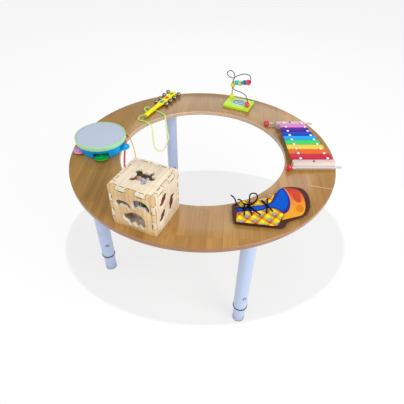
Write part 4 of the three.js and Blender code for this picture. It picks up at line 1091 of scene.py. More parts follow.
def makeStick():
    waist, head, top = 76.8, 128, stick["length"] - 14.5
    side = [(10, 0)] + quadCurve((10, 0), (8.5, waist / 2), (8.5, waist), 6) \
        + quadCurve((8.5, waist), (8.5, (waist + head) / 2), (14.5, head), 8) + [(14.5, top)]
    cap = arc(0, top, 14.5, 0, 180, 24)[1:-1]
    outline = side + cap + [(-x, y) for x, y in reversed(side)]
    blade = platePiece("jingleStick", outline, stick["middle"] - stick["thickness"] / 2, stick["thickness"],
                       stick["round"], 4)
    holes = []
    for i in range(4):
        hole = settle(rodPiece("wireHole", 1.8, -30, 30), turn=(0, 90, 0))
        holes.append(settle(hole, (0, stick["bellFirst"] + stick["bellPitch"] * i, stick["middle"])))
    shank = settle(rodPiece("shankHole", 1.8, -3, 14.3), turn=(-90, 0, 0))
    return cutAway(blade, *holes, settle(shank, (0, 0, stick["middle"])))


def stickMaterial():
    material, tree, shader = newMaterial("stickYellow", stick)
    own = patternSpace(tree, onRing(stickPlace, 0, 0, stick["middle"]), (0, 0, stickPlace["turn"]))
    parts = axes(tree, own)
    colour = screen(*stick["paint"])
    for paint, y, halfAcross, halfAlong in stick["marks"]:
        across = count(tree, "DIVIDE", parts[0], halfAcross * mm)
        along = count(tree, "DIVIDE", count(tree, "SUBTRACT", parts[1], y * mm), halfAlong * mm)
        # a square with round corners
        cubes = [count(tree, "POWER", count(tree, "ABSOLUTE", part), 3.0) for part in (across, along)]
        disc = spread(tree, count(tree, "ADD", *cubes), 0.88, 1, 1, 0)
        upper = spread(tree, parts[2], 0.0035, 0.0038)
        blot = spread(tree, noise(tree, own, 190.0, 2), 0.5, 0.54)
        inside = mixed(tree, blot, screen(*paint), screen(*[c * 0.62 for c in paint]))
        colour = mixed(tree, count(tree, "MULTIPLY", disc, upper), colour, inside)
    paintOver(tree, shader, own, colour, stick)
    return material


def makeBell():
    # a round bell with a seam round its middle and a slit across its mouth
    radius = stick["bellRadius"]
    lower, upper = arc(0, 0, radius, -82, -6, 12), arc(0, 0, radius, 6, 82, 12)
    profile = [(0, -radius), *lower, (radius + 0.5, -0.9), (radius + 0.5, 0.9), *upper, (0, radius)]
    bell = turnedPiece("bell", profile, 32)
    slits = [boxPiece("bellSlit", (-x, -y, radius - 5), (x, y, radius + 2), 0.4)
             for x, y in ((7.5, 0.9), (0.9, 7.5))]
    for x, y in ((7.2, 0), (-7.2, 0), (0, 7.2), (0, -7.2)):
        slits.append(settle(rodPiece("bellEye", 1.6, radius - 7, radius + 2, 16), (x, y, 0)))
    return cutAway(bell, *slits)


finishPiece(standOn(makeStick(), stickPlace), "stick", stickMaterial(), ["jingle_stick"])
bellModel = makeBell()
for number in range(4):
    parts = []
    for side in (-1, 1):
        bell = settle(copyOf(bellModel, "bellCopy"), turn=(28 * (1 if number % 2 else -1), side * 62, 0))
        parts.append(settle(bell, (side * stick["bellOffset"], 0, 0)))
        neck = turnedPiece("bellNeck", [(0, 0), (2.6, 0), (2.6, 1.6), (1.9, 2.8), (1.9, 4.6), (0, 4.6)], 16)
        settle(neck, turn=(0, side * -90, 0))
        parts.append(settle(neck, (side * 19.6, 0, 0)))
    parts.append(settle(rodPiece("bellWire", 1.3, -22, 22, 16, 0.1), turn=(0, 90, 0)))
    pair = joinPieces("bellPair_%d" % (number + 1), parts)
    settle(pair, (0, stick["bellFirst"] + stick["bellPitch"] * number, stick["middle"]))
    finishPiece(standOn(pair, stickPlace), "bells_%d" % (number + 1), bellMaterial,
                ["bell_pair_%d" % (number + 1)])
drop(bellModel)

eyeRadius, eyeWire, eyeMiddle = stick["eye"]
bpy.ops.object.select_all(action="DESELECT")
bpy.ops.mesh.primitive_torus_add(major_radius=eyeRadius * mm, minor_radius=eyeWire * mm,
                                 major_segments=36, minor_segments=14)
eyeRing = settle(bpy.context.object, (0, eyeMiddle, 0))
threads = [(0, -3.2), (eyeWire, -3.2), (eyeWire, 3)]
for turnNumber in range(8):
    threads += [(1.2, 3.5 + 1.3 * turnNumber), (eyeWire, 4.1 + 1.3 * turnNumber)]
shankPiece = settle(turnedPiece("eyeShank", threads + [(0.3, 14), (0, 14)], 20), turn=(-90, 0, 0))
eyePiece = settle(joinPieces("stickEye", [shankPiece, eyeRing]), (0, 0, stick["middle"]))
finishPiece(standOn(eyePiece, stickPlace), "stick", bellMaterial, ["stick_eye"])
print("jingle stick")


# Bead maze

mazePlace = {"x": -4.31, "y": 411.98, "turn": 0}
maze = {
    "length": 122, "width": 90, "bottom": 0.3, "thickness": 13, "corner": 5, "edge": 1.6,
    "disc": (2, 4, 33, 23, 0.8), "card": (40, 30), "screw": (-50, -3), "feet": ((-46, 28), (48, -24)),
    "wireHeight": 147, "wireRadius": 1.7,
    "base": {"paint": (196, 240, 56), "gloss": 0.35, "coat": 0.15, "change": 0.05, "specular": 0.2},
    "wire": {"paint": (26, 24, 24), "gloss": 0.45, "change": 0.1, "specular": 0.15},
    "beads": (
        ("bead_yellow_low", "bead_yellow", (246, 232, 24), 11, 2.3, (-46, 28, 24.6), (0, 0, 1)),
        ("bead_red_ball", "bead_red", (226, 58, 84), 12, 4.2, (43.35, -25.79, 129.51),
         (-0.777, 0.375, -0.506)),
        ("bead_blue", "bead_blue", (24, 132, 206), 11, 3, (23.53, -16, 121.24), (-0.825, 0.413, -0.385)),
        ("bead_pale_green", "bead_pale_green", (192, 234, 120), 11, 2.8, (0.88, -4.64, 109.62),
         (-0.836, 0.415, -0.358)),
        ("bead_cyan", "bead_cyan", (24, 216, 226), 11, 3.8, (-18.61, 5.47, 104.44), (-0.892, 0.453, 0.006)),
        ("bead_yellow_high", "bead_yellow", (246, 232, 24), 11, 3, (-39.37, 14.47, 85.9),
         (0.036, -0.016, -0.999)),
        ("bead_red_low", "bead_red", (238, 70, 84), 12, 2.3, (48, -24, 25.6), (0, 0, 1)))}
wireShares = [
    (0, 0, 0.07), (0, 0, 0.28), (-0.03, 0.01, 0.5), (-0.01, 0.03, 0.6), (0.05, 0.045, 0.68),
    (0.035, 0.045, 0.76), (-0.03, 0.04, 0.82), (-0.12, 0.035, 0.85), (-0.22, 0.03, 0.845),
    (-0.33, 0.02, 0.8), (-0.4, 0.01, 0.735), (-0.37, 0, 0.69), (-0.25, -0.02, 0.667), (-0.08, -0.035, 0.668),
    (0.054, -0.045, 0.69), (0.16, -0.04, 0.74), (0.254, -0.035, 0.796), (0.4, -0.03, 0.865),
    (0.562, -0.02, 0.932), (0.72, -0.01, 0.975), (0.87, 0, 0.993), (0.97, 0, 0.985), (1.045, -0.01, 0.95),
    (1.075, -0.02, 0.9), (1.05, -0.03, 0.845), (0.98, -0.035, 0.795), (0.88, -0.04, 0.762),
    (0.767, -0.045, 0.735), (0.64, -0.05, 0.69), (0.521, -0.055, 0.653), (0.42, -0.06, 0.63),
    (0.329, -0.06, 0.62), (0.25, -0.065, 0.627), (0.18, -0.07, 0.63), (0.13, -0.075, 0.595),
    (0.115, -0.08, 0.53), (0.12, -0.08, 0.45), (0.14, -0.08, 0.4), (0.2, -0.075, 0.37),
    (0.329, -0.06, 0.361), (0.5, -0.04, 0.372), (0.65, -0.025, 0.374), (0.8, -0.01, 0.355), (0.9, 0, 0.31),
    (0.96, 0, 0.25), (1, 0, 0.16), (1, 0, 0.07)]
mazeTop = maze["bottom"] + maze["thickness"]


def mazeWireLine():
    left, right = (Vector((*foot, 0)) for foot in maze["feet"])
    span = right - left
    across = Vector((-span.y, span.x, 0))
    route = [left + span * along + across * side + Vector((0, 0, mazeTop + up * maze["wireHeight"]))
             for along, side, up in wireShares]
    down = Vector((0, 0, mazeTop - 8.7))
    return smoothLine([left + down, *route, right + down], 6)


def makeMazeBase():
    half, deep = maze["length"] / 2, maze["width"] / 2
    outline = roundedBox(-half, half, -deep, deep, maze["corner"], 5)
    base = platePiece("mazeBase", outline, maze["bottom"], maze["thickness"], maze["edge"], 3)
    x, y, across, tall, depth = maze["disc"]
    low, high = mazeTop - depth, mazeTop + 3
    oval = turnedPiece("ovalCutter", [(0, low), (1, low), (1, high), (0, high)], 64)
    oval.scale = (across, tall, 1)
    settle(oval, (x, y, 0))
    holes = [settle(rodPiece("wireHole", 1.8, mazeTop - 9, high, 20), (*foot, 0)) for foot in maze["feet"]]
    holes.append(settle(rodPiece("screwHole", 2.2, mazeTop - 1.2, high, 20), (*maze["screw"], 0)))
    return cutAway(base, oval, *holes)


def makeOvalCard():
    # the printed card that covers the base's oval recess
    x, y = maze["disc"][:2]
    low, high = mazeTop + 0.02, mazeTop + 0.25
    profile = [(0, low), (0.99, low), (1, mazeTop + 0.1), (0.99, high), (0, high)]
    card = turnedPiece("mazeCard", profile, 64)
    card.scale = (*maze["card"], 1)
    return settle(card, (x, y, 0))


def cardMaterial():
    material, tree, shader = newMaterial("mazeCard", {"coat": 0.5, "specular": 0.4})
    x, y = maze["disc"][:2]
    across, tall = maze["card"]
    own = patternSpace(tree, onRing(mazePlace, x, y, 0))
    even = stretched(tree, own, (1 / (across * mm), 1 / (tall * mm), 0))
    away = reachOf(tree, even)
    hills = node(tree, "ShaderNodeTexWave", {
        "Vector": even, "Scale": 0.7, "Distortion": 4.5, "Detail": 1.5, "Detail Scale": 1.2},
        wave_type="BANDS", bands_direction="Y").outputs["Fac"]
    stops = ((0.0, (14, 62, 132)), (0.4, (18, 130, 176)), (0.6, (96, 204, 206)), (0.86, (232, 244, 240)))
    colour = toneRamp(tree, hills, stops, stepped=True)
    colour = mixed(tree, spread(tree, away, 0.84, 0.88), colour, screen(240, 246, 246))
    colour = mixed(tree, spread(tree, away, 0.93, 0.95), colour, screen(120, 190, 210))
    film = {"patch": 60.0, "change": 0.04, "gloss": 0.3, "scuff": 0.05, "bump": 0.08}
    paintOver(tree, shader, own, colour, film)
    return material


def makeBead(name, radius, bore):
    lean = math.degrees(math.asin(bore / radius))
    outside = arc(0, 0, radius, -90 + lean + 3, 90 - lean - 3, 20)
    top = radius * math.cos(math.radians(lean)) - 0.5
    return turnedPiece(name, [(bore, -top), *outside, (bore, top)], 40, True)


mazeLime = paintMaterial("mazeLime", maze["base"])
finishPiece(standOn(makeMazeBase(), mazePlace), "maze", mazeLime, ["maze_base"])
finishPiece(standOn(makeOvalCard(), mazePlace), "maze", cardMaterial())
mazeScrew = turnedPiece("mazeScrew", [(0, 12), (2.1, 12), (2.1, 12.9), (1.4, 13.4), (0, 13.5)], 20)
settle(mazeScrew, (*maze["screw"], 0))
finishPiece(standOn(mazeScrew, mazePlace), "maze", trimMaterial)
mazeWire = standOn(wirePiece("mazeWire", mazeWireLine(), maze["wireRadius"]), mazePlace)
finishPiece(mazeWire, "maze", paintMaterial("mazeWireGrey", maze["wire"]), ["maze_wire"])
for nodeName, slotName, paint, radius, bore, middle, direction in maze["beads"]:
    bead = aim(makeBead(nodeName.replace("bead_", "bead."), radius, bore), middle, direction)
    standOn(bead, mazePlace)
    look = {"paint": paint, "gloss": 0.25, "coat": 0.4, "change": 0.05, "scuff": 0.04, "specular": 0.3}
    finishPiece(bead, nodeName, paintMaterial(nodeName, look), [nodeName])
print("bead maze")


# Xylophone

xyloPlace = {"x": 340.0, "y": 199.5, "turn": 25.7}
xylo = {
    "barWidth": 28, "barPitch": 31.6, "barThickness": 6, "longest": 152, "shortest": 108, "barLeft": -73.5,
    "barNear": -127.4, "barBottom": 26.3, "railWidth": 12, "railTop": 26, "railBottom": 5, "blockDepth": 26,
    "blockHeight": 28, "near": (-68, 85, -155), "far": (-79, 29, 128), "slope": 7, "slopeHeight": 17,
    "leftRail": (-39.5, -53), "rightRail": (60, 20.5), "axis": 12, "ball": 11.7, "stickRadius": 4.1,
    "reach": 195, "mallets": (("near", -84, -157.5), ("far", -118, 156.5)),
    "bars": (("red", (204, 36, 66)), ("orange", (228, 104, 40)), ("yellow", (236, 205, 80)),
             ("green", (66, 208, 100)), ("light_blue", (8, 164, 232)), ("blue", (4, 60, 186)),
             ("purple", (74, 14, 154)), ("pink", (222, 132, 204))),
    "wood": {"light": (228, 211, 204), "dark": (204, 182, 174), "figure": 55.0, "pores": 0.2, "gloss": 0.5,
             "specular": 0.15},
    "pin": {"paint": (240, 240, 242), "gloss": 0.35, "change": 0.04},
    "mallet": {"paint": (214, 30, 54), "gloss": 0.15, "coat": 0.6, "change": 0.05},
    "shaft": {"light": (214, 212, 208), "dark": (190, 182, 172), "figure": 80.0, "pores": 0.3, "gloss": 0.45,
              "specular": 0.15}}


railStart, railEnd = xylo["near"][2] + xylo["blockDepth"], xylo["far"][2]


def railX(rail, y):
    return rail[0] + (rail[1] - rail[0]) * (y - railStart) / (railEnd - railStart)


def makeEndBlock(name, block, outward):
    left, right, front = block
    outer = front if outward < 0 else front + xylo["blockDepth"]
    inner = front + xylo["blockDepth"] if outward < 0 else front
    section = [(outer, 0.3), (inner, 0.3), (inner, xylo["blockHeight"]),
               (outer - outward * xylo["slope"], xylo["blockHeight"]), (outer, xylo["slopeHeight"])]
    body = settle(platePiece(name, section, left, right - left, 1.1, 3), turn=(90, 0, 90))
    groove = settle(rodPiece("groove", 4.4, left - 5, right + 5, 32), turn=(0, 90, 0))
    return cutAway(body, settle(groove, (0, outer + outward * 2.5, xylo["axis"])))


def makeRail(name, rail):
    half = xylo["railWidth"] / 2
    near, far = railStart - 6, railEnd + 6
    outline = [(railX(rail, near) - half, near), (railX(rail, near) + half, near),
               (railX(rail, far) + half, far), (railX(rail, far) - half, far)]
    return platePiece(name, outline, xylo["railBottom"], xylo["railTop"] - xylo["railBottom"], 0.8, 2)


def makePins():
    top = xylo["barBottom"] + xylo["barThickness"] + 0.3
    profile = [(0, 11), (1.35, 11), (1.35, top), (5, top), (5.4, top + 0.5), (5.3, top + 1.4),
               (4.4, top + 2.6), (2.4, top + 3.3), (0, top + 3.4)]
    model = turnedPiece("pinModel", profile, 20)
    made = []
    for rail in (xylo["leftRail"], xylo["rightRail"]):
        for i in range(9):
            y = xylo["barNear"] + i * xylo["barPitch"] - (xylo["barPitch"] - xylo["barWidth"]) / 2
            made.append(settle(copyOf(model, "pinCopy"), (railX(rail, y), y, 0)))
    drop(model)
    return joinPieces("xylophonePins", made)


def makeBar(name, i):
    length = xylo["longest"] - (xylo["longest"] - xylo["shortest"]) * i / 7
    front = xylo["barNear"] + i * xylo["barPitch"]
    left = xylo["barLeft"]
    outline = roundedBox(left, left + length, front, front + xylo["barWidth"], 3, 4)
    return platePiece(name, outline, xylo["barBottom"], xylo["barThickness"], 2.2, 4)


def makeMallet(name, ballX, y):
    # the ball is turned with a small flat where the shaft goes in
    ball, radius, reach = xylo["ball"], xylo["stickRadius"], xylo["reach"]
    profile = [(0, -ball)] + arc(0, 0, ball, -84, 66, 22) + [(4.4, 10.9), (0, 10.9)]
    head = turnedPiece(name + "Ball", profile, 40)
    shaft = turnedPiece(name + "Shaft", [
        (0, 10.95), (radius, 10.95), (radius, reach - 27), (radius - 0.2, reach - 19), (radius, reach - 11),
        (radius, reach - 3), (radius - 0.6, reach - 0.8), (radius - 1.9, reach), (0, reach)], 28)
    return [settle(settle(part, turn=(0, 90, 0)), (ballX, y, xylo["axis"])) for part in (head, shaft)]


frameWood = woodMaterial("frameWood", xylo["wood"], onRing(xyloPlace), toyTurn(xyloPlace))
railWood = woodMaterial("railWood", xylo["wood"], onRing(xyloPlace), toyTurn(xyloPlace, (0, 0, 90)))
for name, side, outward in (("xylophoneNearBlock", "near", -1), ("xylophoneFarBlock", "far", 1)):
    block = xylo[side]
    endBlock = standOn(makeEndBlock(name, block, outward), xyloPlace)
    finishPiece(endBlock, "xylophone", frameWood, ["xylophone_frame"])
    screwX = (block[0] + block[1]) / 2
    screwY = block[2] + xylo["blockDepth"] / 2 - outward * 2
    head = turnedPiece(name + "Screw", [(0, 27), (4.4, 27), (4.4, 28.2), (3.4, 29.2), (0, 29.6)], 24)
    cutAway(head, boxPiece("slot", (-3, -0.6, 28.6), (3, 0.6, 30), 0.1, 1))
    settle(head, (screwX, screwY, 0))
    finishPiece(standOn(head, xyloPlace), "xylophone", trimMaterial)
rails = joinPieces("xylophoneRails", [makeRail(name, xylo[name]) for name in ("leftRail", "rightRail")])
finishPiece(standOn(rails, xyloPlace), "xylophone", railWood, ["xylophone_frame"])
barPins = standOn(makePins(), xyloPlace)
finishPiece(barPins, "xylophone", paintMaterial("pinWhite", xylo["pin"]), ["xylophone_frame"])
for number, (barName, paint) in enumerate(xylo["bars"]):
    look = {"paint": paint, "gloss": 0.45, "coat": 0.05, "change": 0.05, "specular": 0.12}
    bar = standOn(makeBar("bar." + barName, number), xyloPlace)
    barName = "bar_" + barName
    finishPiece(bar, "xylophone", paintMaterial(barName, look), [barName])
malletRed = paintMaterial("malletRed", xylo["mallet"])
malletWood = woodMaterial("malletWood", xylo["shaft"], onRing(xyloPlace), toyTurn(xyloPlace))
for name, ballX, y in xylo["mallets"]:
    head, shaft = makeMallet("mallet." + name, ballX, y)
    finishPiece(standOn(head, xyloPlace), "mallet_" + name, malletRed, ["mallet_" + name])
    finishPiece(standOn(shaft, xyloPlace), "mallet_" + name, malletWood, ["mallet_" + name])
print("xylophone")


# Lacing shoe

shoe = {
    "edge": 1.2, "printHeight": 0.18,
    "outline": [
        (0.018, 0.6), (0.004, 0.4), (0, 0.178), (0.27, 0.085), (0.535, 0), (0.575, 0.04), (0.6, 0.09),
        (0.639, 0.15), (0.7, 0.185), (0.767, 0.211), (0.83, 0.245), (0.886, 0.294), (0.945, 0.4),
        (0.974, 0.511), (0.994, 0.64), (1, 0.766), (0.985, 0.87), (0.948, 0.947), (0.87, 0.99), (0.763, 1),
        (0.72, 0.985), (0.696, 0.961), (0.635, 0.885), (0.588, 0.835), (0.523, 0.81), (0.47, 0.76),
        (0.427, 0.724), (0.323, 0.692), (0.22, 0.69), (0.133, 0.695), (0.067, 0.628)],
    "upperHoles": [(0.166, 0.6), (0.25, 0.612), (0.32, 0.63), (0.388, 0.649), (0.466, 0.679)],
    "lowerHoles": [(0.13, 0.321), (0.22, 0.31), (0.319, 0.298), (0.402, 0.336), (0.479, 0.373)],
    "board": {"light": (86, 50, 44), "dark": (60, 32, 30), "figure": 60.0, "pores": 0.4, "gloss": 0.4,
              "specular": 0.15},
    "toeCap": [
        (69, 94), (82, 94), (96, 91), (107, 85), (115, 76), (120, 62), (121, 44), (119, 24), (115, 5),
        (109, -13), (101, -28), (91, -39), (78, -44), (60, -48), (42, -52), (24, -56), (24, -52), (31, -43),
        (37, -31), (48, -25), (58, -15), (66, 0), (72, 18), (76, 38), (77, 58), (74, 78)],
    "toeLine": [
        (68, 92), (71, 92), (75, 79), (77, 60), (76, 38), (72, 18), (66, -1), (58, -15), (49, -26),
        (38, -32), (37, -30), (48, -23), (56, -14), (64, 2), (70, 20), (73, 40), (73, 60), (71, 78)],
    "toeOvals": (((98, 42), 13, 24, 4, (198, 66, 28)), ((92, -11), 12.5, 18, -18, (212, 124, 12))),
    "tongue": [
        (-107, 13), (-80, 10), (-58, 11), (-40, 12), (-24, 13), (-12, 16), (2, 21), (14, 31), (23, 44),
        (31, 59), (40, 74), (50, 86), (59, 92), (65, 89), (70, 78), (72, 60), (71, 40), (67, 20), (60, 2),
        (51, -12), (40, -21), (31, -20), (22, -11), (12, -3), (0, 1), (-12, 0), (-24, -5), (-40, -10),
        (-60, -8), (-84, -7), (-98, -9), (-110, -14)],
    "upperFlap": [
        (-105, 14), (-80, 12), (-58, 13), (-40, 14), (-24, 15), (-13, 18), (0, 23), (11, 33), (19, 46),
        (25, 58), (29, 66), (13, 63), (-1, 54), (-12, 47), (-39, 41.5), (-66, 41), (-88, 42), (-104, 31)],
    "lowerFlap": [
        (-111, -16), (-98, -11), (-84, -9), (-60, -10), (-40, -12), (-24, -7), (-12, -2), (0, -1), (12, -5),
        (22, -13), (30, -23), (34, -30), (29, -40), (22, -50), (15, -61), (7, -72), (0, -80), (-20, -76),
        (-53, -68), (-90, -59), (-117, -53), (-116, -36)],
    "plaidPitch": 31}


def softened(outline):
    # a smooth closed outline through the drawn points
    steps = 3
    points = [Vector((x, y, 0)) for x, y in outline]
    closed = smoothLine([points[-1], *points, points[0]], steps)
    return [(point.x, point.y) for point in closed[steps:-steps]][:-1]


def laceDrills(shares):
    return [settle(rodPiece("laceHole", 3, 0, 20, 20), (*shoeSpot(share), 0)) for share in shares]


def makeShoeBoard():
    straight = [shoeSpot(share) for share in shoe["outline"]]
    line = smoothLine([(x, y, 0) for x, y in straight[4:]], 3)
    outline = straight[:4] + [(point.x, point.y) for point in line]
    board = platePiece("shoeBoard", outline, shoeSize["bottom"], shoeSize["thickness"], shoe["edge"], 3)
    return cutAway(board, *laceDrills(shoe["upperHoles"] + shoe["lowerHoles"]))


def printPlate(name, outline, level, holes=()):
    # a thin coat of print on top of the board
    plate = platePiece(name, outline, shoeTop, shoe["printHeight"] * level)
    return cutAway(plate, *laceDrills(holes))


def plaidMaterial():
    material, tree, shader = newMaterial("plaid", {"specular": 0.15})
    own = patternSpace(tree, onRing(shoePlace), (0, 0, shoePlace["turn"] + 45))
    stops = ((0.0, (252, 236, 50)), (0.42, (190, 30, 60)), (0.52, (250, 176, 100)), (0.6, (176, 26, 56)),
             (0.69, (240, 246, 244)), (0.78, (70, 80, 170)), (0.85, (190, 236, 240)), (0.94, (240, 150, 70)))
    bands = []
    for part, shift in zip(axes(tree, own), (0.004, 0.011)):
        turn = count(tree, "DIVIDE", count(tree, "ADD", part, 1 + shift), shoe["plaidPitch"] * mm)
        bands.append(toneRamp(tree, count(tree, "FRACT", turn), stops, stepped=True))
    colour = mixed(tree, 0.25, mixed(tree, 1.0, *bands, "MULTIPLY"), mixed(tree, 0.5, *bands))
    fibre = noise(tree, own, 900, 2)
    colour = toned(tree, colour, count(tree, "MULTIPLY_ADD", fibre, 0.3, 0.86), 1.15)
    wireUp(tree, shader, {"Color": colour, "Roughness": 0.45, "Height": fibre}, 0.15)
    return material


def toeMaterial():
    material, tree, shader = newMaterial("toeCap", {"specular": 0.15})
    own = patternSpace(tree, onRing(shoePlace), (0, 0, shoePlace["turn"]))
    speck = count(tree, "SUBTRACT", noise(tree, own, 240, 4), 0.5)
    climb = count(tree, "MULTIPLY_ADD", speck, 0.05, axes(tree, own)[1])
    stops = ((0.0, (228, 158, 12)), (0.3, (232, 158, 30)), (0.55, (232, 130, 40)), (0.8, (208, 70, 34)),
             (1.0, (176, 44, 24)))
    colour = toneRamp(tree, spread(tree, climb, -0.06, 0.095), stops)
    film = {"patch": 70.0, "change": 0.1, "gloss": 0.4, "scuff": 0.05, "bump": 0.1}
    paintOver(tree, shader, own, colour, film)
    return material


def inkMaterial(name, paint, **look):
    return paintMaterial(name, {"paint": paint, "gloss": 0.45, "specular": 0.15, **look})


shoeBoard = standOn(makeShoeBoard(), shoePlace)
shoeBrown = woodMaterial("shoeBoardBrown", shoe["board"], onRing(shoePlace), toyTurn(shoePlace))
finishPiece(shoeBoard, "shoe", shoeBrown, ["shoe_board"])
plaid = plaidMaterial()
prints = [
    ("printToe", shoe["toeCap"], 1, (), toeMaterial()),
    ("printToeLine", shoe["toeLine"], 2, (), inkMaterial("toeLine", (226, 140, 110))),
    ("printTongueRim", shoe["tongue"], 3, (), inkMaterial("tongueRim", (0, 40, 146), change=0.15)),
    ("printUpperFlap", shoe["upperFlap"], 4, shoe["upperHoles"], plaid),
    ("printLowerFlap", shoe["lowerFlap"], 4, shoe["lowerHoles"], plaid)]
for name, outline, level, holes, material in prints:
    plate = printPlate(name, softened(outline), level, holes)
    finishPiece(standOn(plate, shoePlace), "shoe", material)
for number, ((x, y), across, tall, lean, paint) in enumerate(shoe["toeOvals"]):
    oval = [spinXY(across * c, tall * s, lean) for c, s in arc(0, 0, 1, 0, 345, 23)]
    plate = printPlate("printOval_%d" % number, [(x + a, y + b) for a, b in oval], 1.6)
    ink = inkMaterial("toeOval_%d" % number, paint, change=0.15)
    finishPiece(standOn(plate, shoePlace), "shoe", ink)
tongueInner = [
    (-104, 9), (-80, 6), (-58, 7), (-40, 8), (-24, 9), (-10, 12), (4, 17), (17, 27), (27, 41), (35, 56),
    (44, 70), (53, 81), (59, 86), (63, 82), (66, 70), (67, 56), (66, 40), (62, 22), (56, 6), (48, -7),
    (39, -15), (33, -15), (25, -8), (14, 1), (0, 5), (-14, 4), (-26, -1), (-42, -6), (-62, -4), (-84, -3),
    (-98, -5), (-105, -8)]
tongueBlue = inkMaterial("tongueBlue", (0, 84, 200), gloss=0.5, change=0.2, patch=160.0, specular=0.05)
tonguePlate = standOn(printPlate("printTongue", softened(tongueInner), 3.6), shoePlace)
finishPiece(tonguePlate, "shoe", tongueBlue)


def stitch(name, start, end, over):
    # one run of the lace from hole to hole, over the board or under it
    rise = lace["diameter"] / 2 + 0.5
    level = shoeTop + rise + 0.5 if over else shoeSize["bottom"] - rise
    inside = shoeTop - 4 if over else shoeSize["bottom"] + 4
    low = level - 0.3 if over else level
    high = level + 0.5 if over else level
    near, middle, far = (tuple(a + (b - a) * share for a, b in zip(start, end))
                         for share in (0.05, 0.5, 0.95))
    points = [onShoe(start, inside), onShoe(start, (inside + level) / 2), onShoe(near, low),
              onShoe(middle, high), onShoe(far, low), onShoe(end, (inside + level) / 2), onShoe(end, inside)]
    return laceRun(name, points)[0]


upper, lower, knotSpot = shoe["upperHoles"], shoe["lowerHoles"], lace["knot"]
runs = [(lower[1], knotSpot, True), (lower[0], upper[0], True), (upper[3], lower[4], True),
        (upper[4], lower[3], True), (lower[2], knotSpot, True), (lower[1], lower[0], False),
        (upper[0], upper[3], False), (lower[4], upper[4], False), (lower[3], lower[2], False)]
stitches = []
for number, (start, end, over) in enumerate(runs):
    if end == knotSpot:
        level = shoeTop + lace["diameter"] / 2 + 1
        half = tuple((a + b) / 2 for a, b in zip(start, end))
        points = [onShoe(start, shoeTop - 4), onShoe(start, shoeTop),
                  onShoe(half, level), onShoe(end, level)]
        stitches.append(laceRun("laceRun", points)[0])
    else:
        stitches.append(stitch("laceRun", start, end, over))
finishPiece(joinPieces("laceStitches", stitches), "shoe", laceMaterial, ["shoe_lace"])


def makeKnot():
    # two turns of the lace round each other
    made = []
    for phase, lean in ((0, 25), (90, -30)):
        points = []
        for x, y in arc(0, 0, 3.4, phase, phase + 330, 12):
            up = 1.3 * math.sin(math.radians(lean)) * x + shoeTop + lace["diameter"] * 1.1 + 1.2
            spot = shoeSpot(knotSpot)
            points.append(Vector(onRing(shoePlace, spot[0] + x * 1.3, spot[1] + y, up)))
        made.append(laceRun("knotTurn", points)[0])
    return joinPieces("laceKnot", made)


finishPiece(makeKnot(), "shoe", laceMaterial, ["shoe_lace"])
print("lacing shoe")


# Shape sorting cube

cubePlace = {"x": -10.43, "y": -398.46, "turn": 0}
cube = {
    "side": 149, "wall": 10, "bottom": 0.3, "play": 0.15, "edge": 0.5, "lidTabs": ((0.17, 0.4), (0.6, 0.83)),
    "cornerTabs": ((0, 0.2), (0.4, 0.6), (0.8, 1)), "sideTabs": ((0.2, 0.4), (0.6, 0.8)),
    "pine": {"light": (238, 225, 204), "dark": (220, 198, 164), "length": 600, "width": 27, "spread": 0.12,
             "figure": 30.0, "bands": 0.3, "pores": 0.12, "gloss": 0.5, "specular": 0.2},
    "pineFront": {"light": (232, 204, 156), "dark": (192, 152, 98)},
    # the brown of a laser cut, and also painted shade in the gaps of the joints
    "burntAndShaded": {"paint": (84, 52, 30), "gloss": 0.7, "change": 0.2, "specular": 0.1}, "edgeLineWidth": 1.1,
    "cut": {"paint": (240, 228, 214), "gloss": 0.6, "change": 0.06},
    # the right wall's cut walls: partly burnt cut, partly painted shade for the dim inside seen through its
    # holes
    "brownCut": {"paint": (138, 82, 70), "gloss": 0.7, "change": 0.2, "specular": 0.1},
    "dash": {"paint": (40, 132, 66), "gloss": 0.6, "change": 0.3, "patch": 300.0}}
elephant = [(0, 0.12, 0.42, 0.36), (-0.33, -0.14, 0.14, 0.34), (0.36, -0.16, 0.13, 0.32)]
hedgehog = [(0.06, 0.04, 0.38, 0.4), (-0.33, -0.04, 0.17, 0.26), (-0.2, -0.28, 0.1, 0.2),
            (0.08, -0.3, 0.1, 0.18), (0.34, -0.24, 0.12, 0.24)]
turtle = [(0, 0, 0.3, 0.32), (0.34, 0.04, 0.15, 0.15), (-0.28, 0.26, 0.15, 0.15), (-0.26, -0.26, 0.15, 0.15),
          (0.22, 0.3, 0.1, 0.17), (0.2, -0.3, 0.11, 0.17)]
seal = [(0, 0, 0.22, 0.34), (0.14, 0.26, 0.16, 0.22), (-0.16, -0.28, 0.2, 0.2)]
bird = [(0, -0.02, 0.26, 0.32), (0.1, 0.32, 0.2, 0.16), (-0.12, -0.36, 0.13, 0.14), (0.3, 0.34, 0.16, 0.08)]
# Each opening is an outline, then its width, height and middle as shares of the cube's side.
shapeCuts = {
    "front": [(elephant, 0.376, 0.188, -0.208, 0.614), (elephant, 0.409, 0.265, 0.195, 0.709),
              (hedgehog, 0.544, 0.403, 0.024, 0.3)],
    "right": [(seal, 0.389, 0.208, -0.144, 0.725), (bird, 0.295, 0.336, 0.148, 0.436),
              (seal, 0.336, 0.208, -0.208, 0.362)],
    "back": [], "left": [], "lid": [(turtle, 0.564, 0.47, -0.027, 0)]}
cubeSide = cube["side"]
cubeHalf, cubeTop = cubeSide / 2, cube["bottom"] + cubeSide
cubeInner = cubeHalf - cube["wall"]
cubeRim = cubeHalf - 0.3


